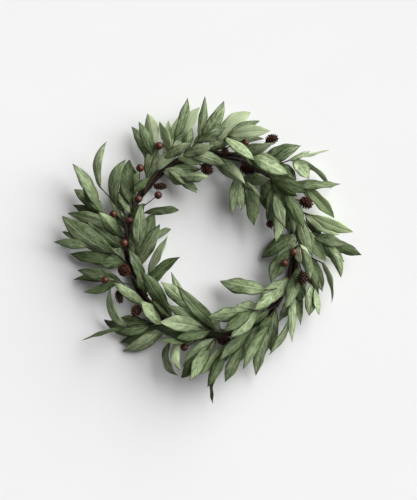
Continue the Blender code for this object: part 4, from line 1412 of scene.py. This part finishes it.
def dress_tie(number, corners, finishes):
    """A loop of round wire, with a second turn beside the first."""
    loop = []
    for i in range(len(corners)):
        near = [corners[(i + j) % len(corners)] for j in (-1, 0, 1, 2)]
        loop += [arch_point(*near, f) for f in (0.0, 0.25, 0.5, 0.75)]
    along = (corners[1] - corners[0]).cross(corners[2] - corners[1]).normalized()
    turns = []
    for side in (-1, 1):
        shifted = [p + along * side * FINE_WIRE_RADIUS * 1.1 for p in loop]
        turns.append(rod("turn", shifted, [FINE_WIRE_RADIUS] * len(loop), THIN_SIDES, closed=True))
    coat(turns, finishes["wire"])
    piece = one_piece(f"tie_{number}", turns)
    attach(piece, "root")
    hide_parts(f"wire_tie_{number}")


# Berries


def berry_pattern():
    """A round berry of radius 1 with a small sunken crown at the top of its Z axis."""
    deselect()
    bpy.ops.mesh.primitive_uv_sphere_add(segments=24, ring_count=18, radius=1.0)
    berry = bpy.context.object
    berry.name = "berry_pattern"
    points = points_of(berry)
    radius = np.hypot(points[:, 0], points[:, 1])
    turn = np.arctan2(points[:, 1], points[:, 0])
    top = points[:, 2] > 0
    crown = np.exp(-(((radius - 0.22) / 0.07) ** 2)) * (0.6 + 0.4 * np.cos(5 * turn)) * top
    hollow = np.exp(-((radius / 0.16) ** 2)) * top
    points[:, 2] += 0.10 * crown - 0.16 * hollow
    points[:, 2] *= 0.96
    move_points(berry, points)
    mark_points(berry, "crown", np.clip(crown * 1.2 + hollow, 0.0, 1.0))
    deselect()
    return berry


def dress_twig(number, ends, lines, pattern, finishes):
    """A thin twig and the berries at its ends."""
    draw = random.Random(TWIG_SEED + number)
    parts = []
    radii = [TWIG_RADIUS * (1.15 - 0.3 * i / (STALK_POINTS - 1)) for i in range(STALK_POINTS)]
    for end, line in zip(ends, lines):
        points = arch_points(line, STALK_POINTS)
        stalk = rod("stalk", points, radii, THIN_SIDES, relief=BARK_RELIEF)
        coat([stalk], finishes["stem"])
        berry = own_copy(pattern, "berry")
        turned = facing((points[-1] - points[-4]).normalized())
        size = BERRY_RADIUS * draw.uniform(0.94, 1.0)
        berry.data.transform(Matrix.Translation(end) @ turned @ Matrix.Scale(size, 4))
        coat([berry], finishes["berry"])
        parts += [berry, stalk]
    piece = one_piece(f"berries_{number}", parts)
    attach(piece, "root")
    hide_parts(f"berry_twig_{number}")


# Cones


def scale_pattern():
    """One woody scale: X points out from the core, Y across, Z to the cone's tip. Its rim is thick."""
    deselect()
    bpy.ops.mesh.primitive_cube_add(size=1.0)
    scale = bpy.context.object
    scale.name = "scale_pattern"
    round_off = scale.modifiers.new("round", "SUBSURF")
    round_off.levels = 1
    round_off.render_levels = 1
    bpy.ops.object.modifier_apply(modifier=round_off.name)
    points = points_of(scale)
    share = (points[:, 0] - points[:, 0].min()) / np.ptp(points[:, 0])
    points[:, 0] = share
    points[:, 1] *= 0.35 + 0.95 * share
    points[:, 2] = points[:, 2] * (0.25 + 0.45 * share ** 2) + 0.16 * share ** 2
    move_points(scale, points)
    mark_points(scale, "rim", share)
    deselect()
    return scale


def cone_core(cone, base, axis):
    """The dark core that the scales stand on."""
    bpy.ops.mesh.primitive_uv_sphere_add(segments=12, ring_count=8, radius=1.0)
    core = bpy.context.object
    middle = Matrix.Translation(base + axis * cone.length * CORE_MIDDLE)
    girth = cone.radius * CORE_GIRTH
    size = Matrix.Diagonal((girth, girth, cone.length * CORE_HALF_LENGTH, 1.0))
    core.data.transform(middle @ facing(axis) @ size)
    mark_points(core, "rim", 0.0)
    return core


def cone_scale(k, cone, base, axis, pattern, draw):
    """The scale number k from the cone's base, set on its spiral."""
    across = axis.cross(UP).normalized()
    other = axis.cross(across)
    share = (k + 0.7) / SCALE_COUNT
    height = 0.04 + 0.93 * share
    full = 2 * math.sqrt(height * (1 - height)) * (1.08 - 0.22 * height)
    turn = math.radians(k * GOLDEN_ANGLE + draw.uniform(-4, 4))
    out = across * math.cos(turn) + other * math.sin(turn)
    rise = math.radians(-12 + 80 * share ** 1.3 + draw.uniform(-5, 5))
    tip_way = out * math.cos(rise) + axis * math.sin(rise)
    wide = axis.cross(out)
    up = tip_way.cross(wide)
    reach = cone.radius * max(full, 0.25) * 1.02
    length = max(0.35 * cone.radius, reach * 0.55)
    root = base + axis * cone.length * height + out * reach - tip_way * length
    width = cone.radius * (0.36 + 0.22 * full) * draw.uniform(0.9, 1.1)
    seat = Matrix((tip_way * length, wide * width, up * width)).transposed().to_4x4()
    scale = own_copy(pattern, "scale")
    scale.data.transform(Matrix.Translation(root) @ seat)
    return scale


def dress_cone(number, cone, base, axis, line, pattern, finishes):
    """A cone of overlapping scales set spirally round a dark core, on its stalk."""
    draw = random.Random(CONE_SEED + number)
    parts = [cone_core(cone, base, axis)]
    parts += [cone_scale(k, cone, base, axis, pattern, draw) for k in range(SCALE_COUNT)]
    coat(parts, finishes["cone"])
    points = arch_points(line, CONE_STALK_POINTS)
    stalk = rod("stalk", points, [CONE_STALK_RADIUS] * len(points), THIN_SIDES, relief=BARK_RELIEF)
    coat([stalk], finishes["stem"])
    piece = one_piece(f"scales_{number}", parts + [stalk])
    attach(piece, "root")
    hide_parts(f"cone_{number}")


# Studio


def look_down():
    """A camera straight above the middle of the photograph's frame."""
    camera = bpy.data.cameras.new("camera")
    camera.sensor_fit = "VERTICAL"
    camera.sensor_height = SENSOR
    camera.lens = SENSOR * (CAMERA_HEIGHT - SHARP_HEIGHT) / (FRAME_PIXELS[1] * PIXEL)
    overhead = bpy.data.objects.new("camera", camera)
    overhead.location = picture_point(FRAME_PIXELS[0] / 2, FRAME_PIXELS[1] / 2, CAMERA_HEIGHT)
    bpy.context.scene.collection.objects.link(overhead)
    bpy.context.scene.camera = overhead


def soft_light():
    """One broad soft light from the upper right, over an even pale surround."""
    key = bpy.data.lights.new("key", "SUN")
    key.energy = KEY_STRENGTH
    key.angle = math.radians(KEY_SPREAD)
    lamp = bpy.data.objects.new("key", key)
    lamp.rotation_euler = (-heading_vector(*KEY_FROM)).to_track_quat("-Z", "Y").to_euler()
    bpy.context.scene.collection.objects.link(lamp)
    world = bpy.data.worlds.new("surround")
    world.use_nodes = True
    background = world.node_tree.nodes["Background"]
    background.inputs["Color"].default_value = (*SURROUND_COLOUR, 1.0)
    background.inputs["Strength"].default_value = SURROUND_STRENGTH
    bpy.context.scene.world = world
    bpy.context.scene.view_settings.view_transform = "Standard"


def pale_floor():
    deselect()
    bpy.ops.mesh.primitive_plane_add(size=FLOOR_SIDE)
    floor = bpy.context.object
    floor.name = "floor"
    coat([floor], floor_finish())


def dress_wreath():
    layout = laid_out()
    finishes = {
        "leaf": leaf_finish(),
        "stem": bark_finish("stem_bark", STEM_DARK, STEM_LIGHT, STEM_GRAIN),
        "cane": bark_finish("cane_bark", CANE_DARK, CANE_LIGHT, CANE_GRAIN),
        "berry": berry_finish(),
        "cone": cone_finish(),
        "wire": wire_finish(),
    }
    patterns = [blade_pattern(), berry_pattern(), scale_pattern()]
    blade, berry, scale = patterns
    for number, (lines, leaves) in enumerate(zip(layout.stems, layout.leaves), 1):
        dress_spray(number, lines, leaves, blade, finishes)
    for cane in range(CANE_COUNT):
        dress_cane(cane, finishes)
    for number, corners in enumerate(layout.ties, 1):
        dress_tie(number, corners, finishes)
    for number, (ends, lines) in enumerate(layout.twigs, 1):
        dress_twig(number, ends, lines, berry, finishes)
    for number, (cone, (base, axis, line)) in enumerate(zip(CONES, layout.cones), 1):
        dress_cone(number, cone, base, axis, line, scale, finishes)
    for pattern in patterns:
        bpy.data.objects.remove(pattern)


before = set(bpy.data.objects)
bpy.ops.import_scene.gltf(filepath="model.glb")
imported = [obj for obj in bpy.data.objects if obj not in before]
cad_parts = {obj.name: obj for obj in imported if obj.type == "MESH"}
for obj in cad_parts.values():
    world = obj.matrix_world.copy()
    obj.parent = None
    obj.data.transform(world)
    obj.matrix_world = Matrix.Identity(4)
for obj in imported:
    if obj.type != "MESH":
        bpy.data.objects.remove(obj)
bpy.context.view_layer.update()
dress_wreath()
pale_floor()
soft_light()
look_down()
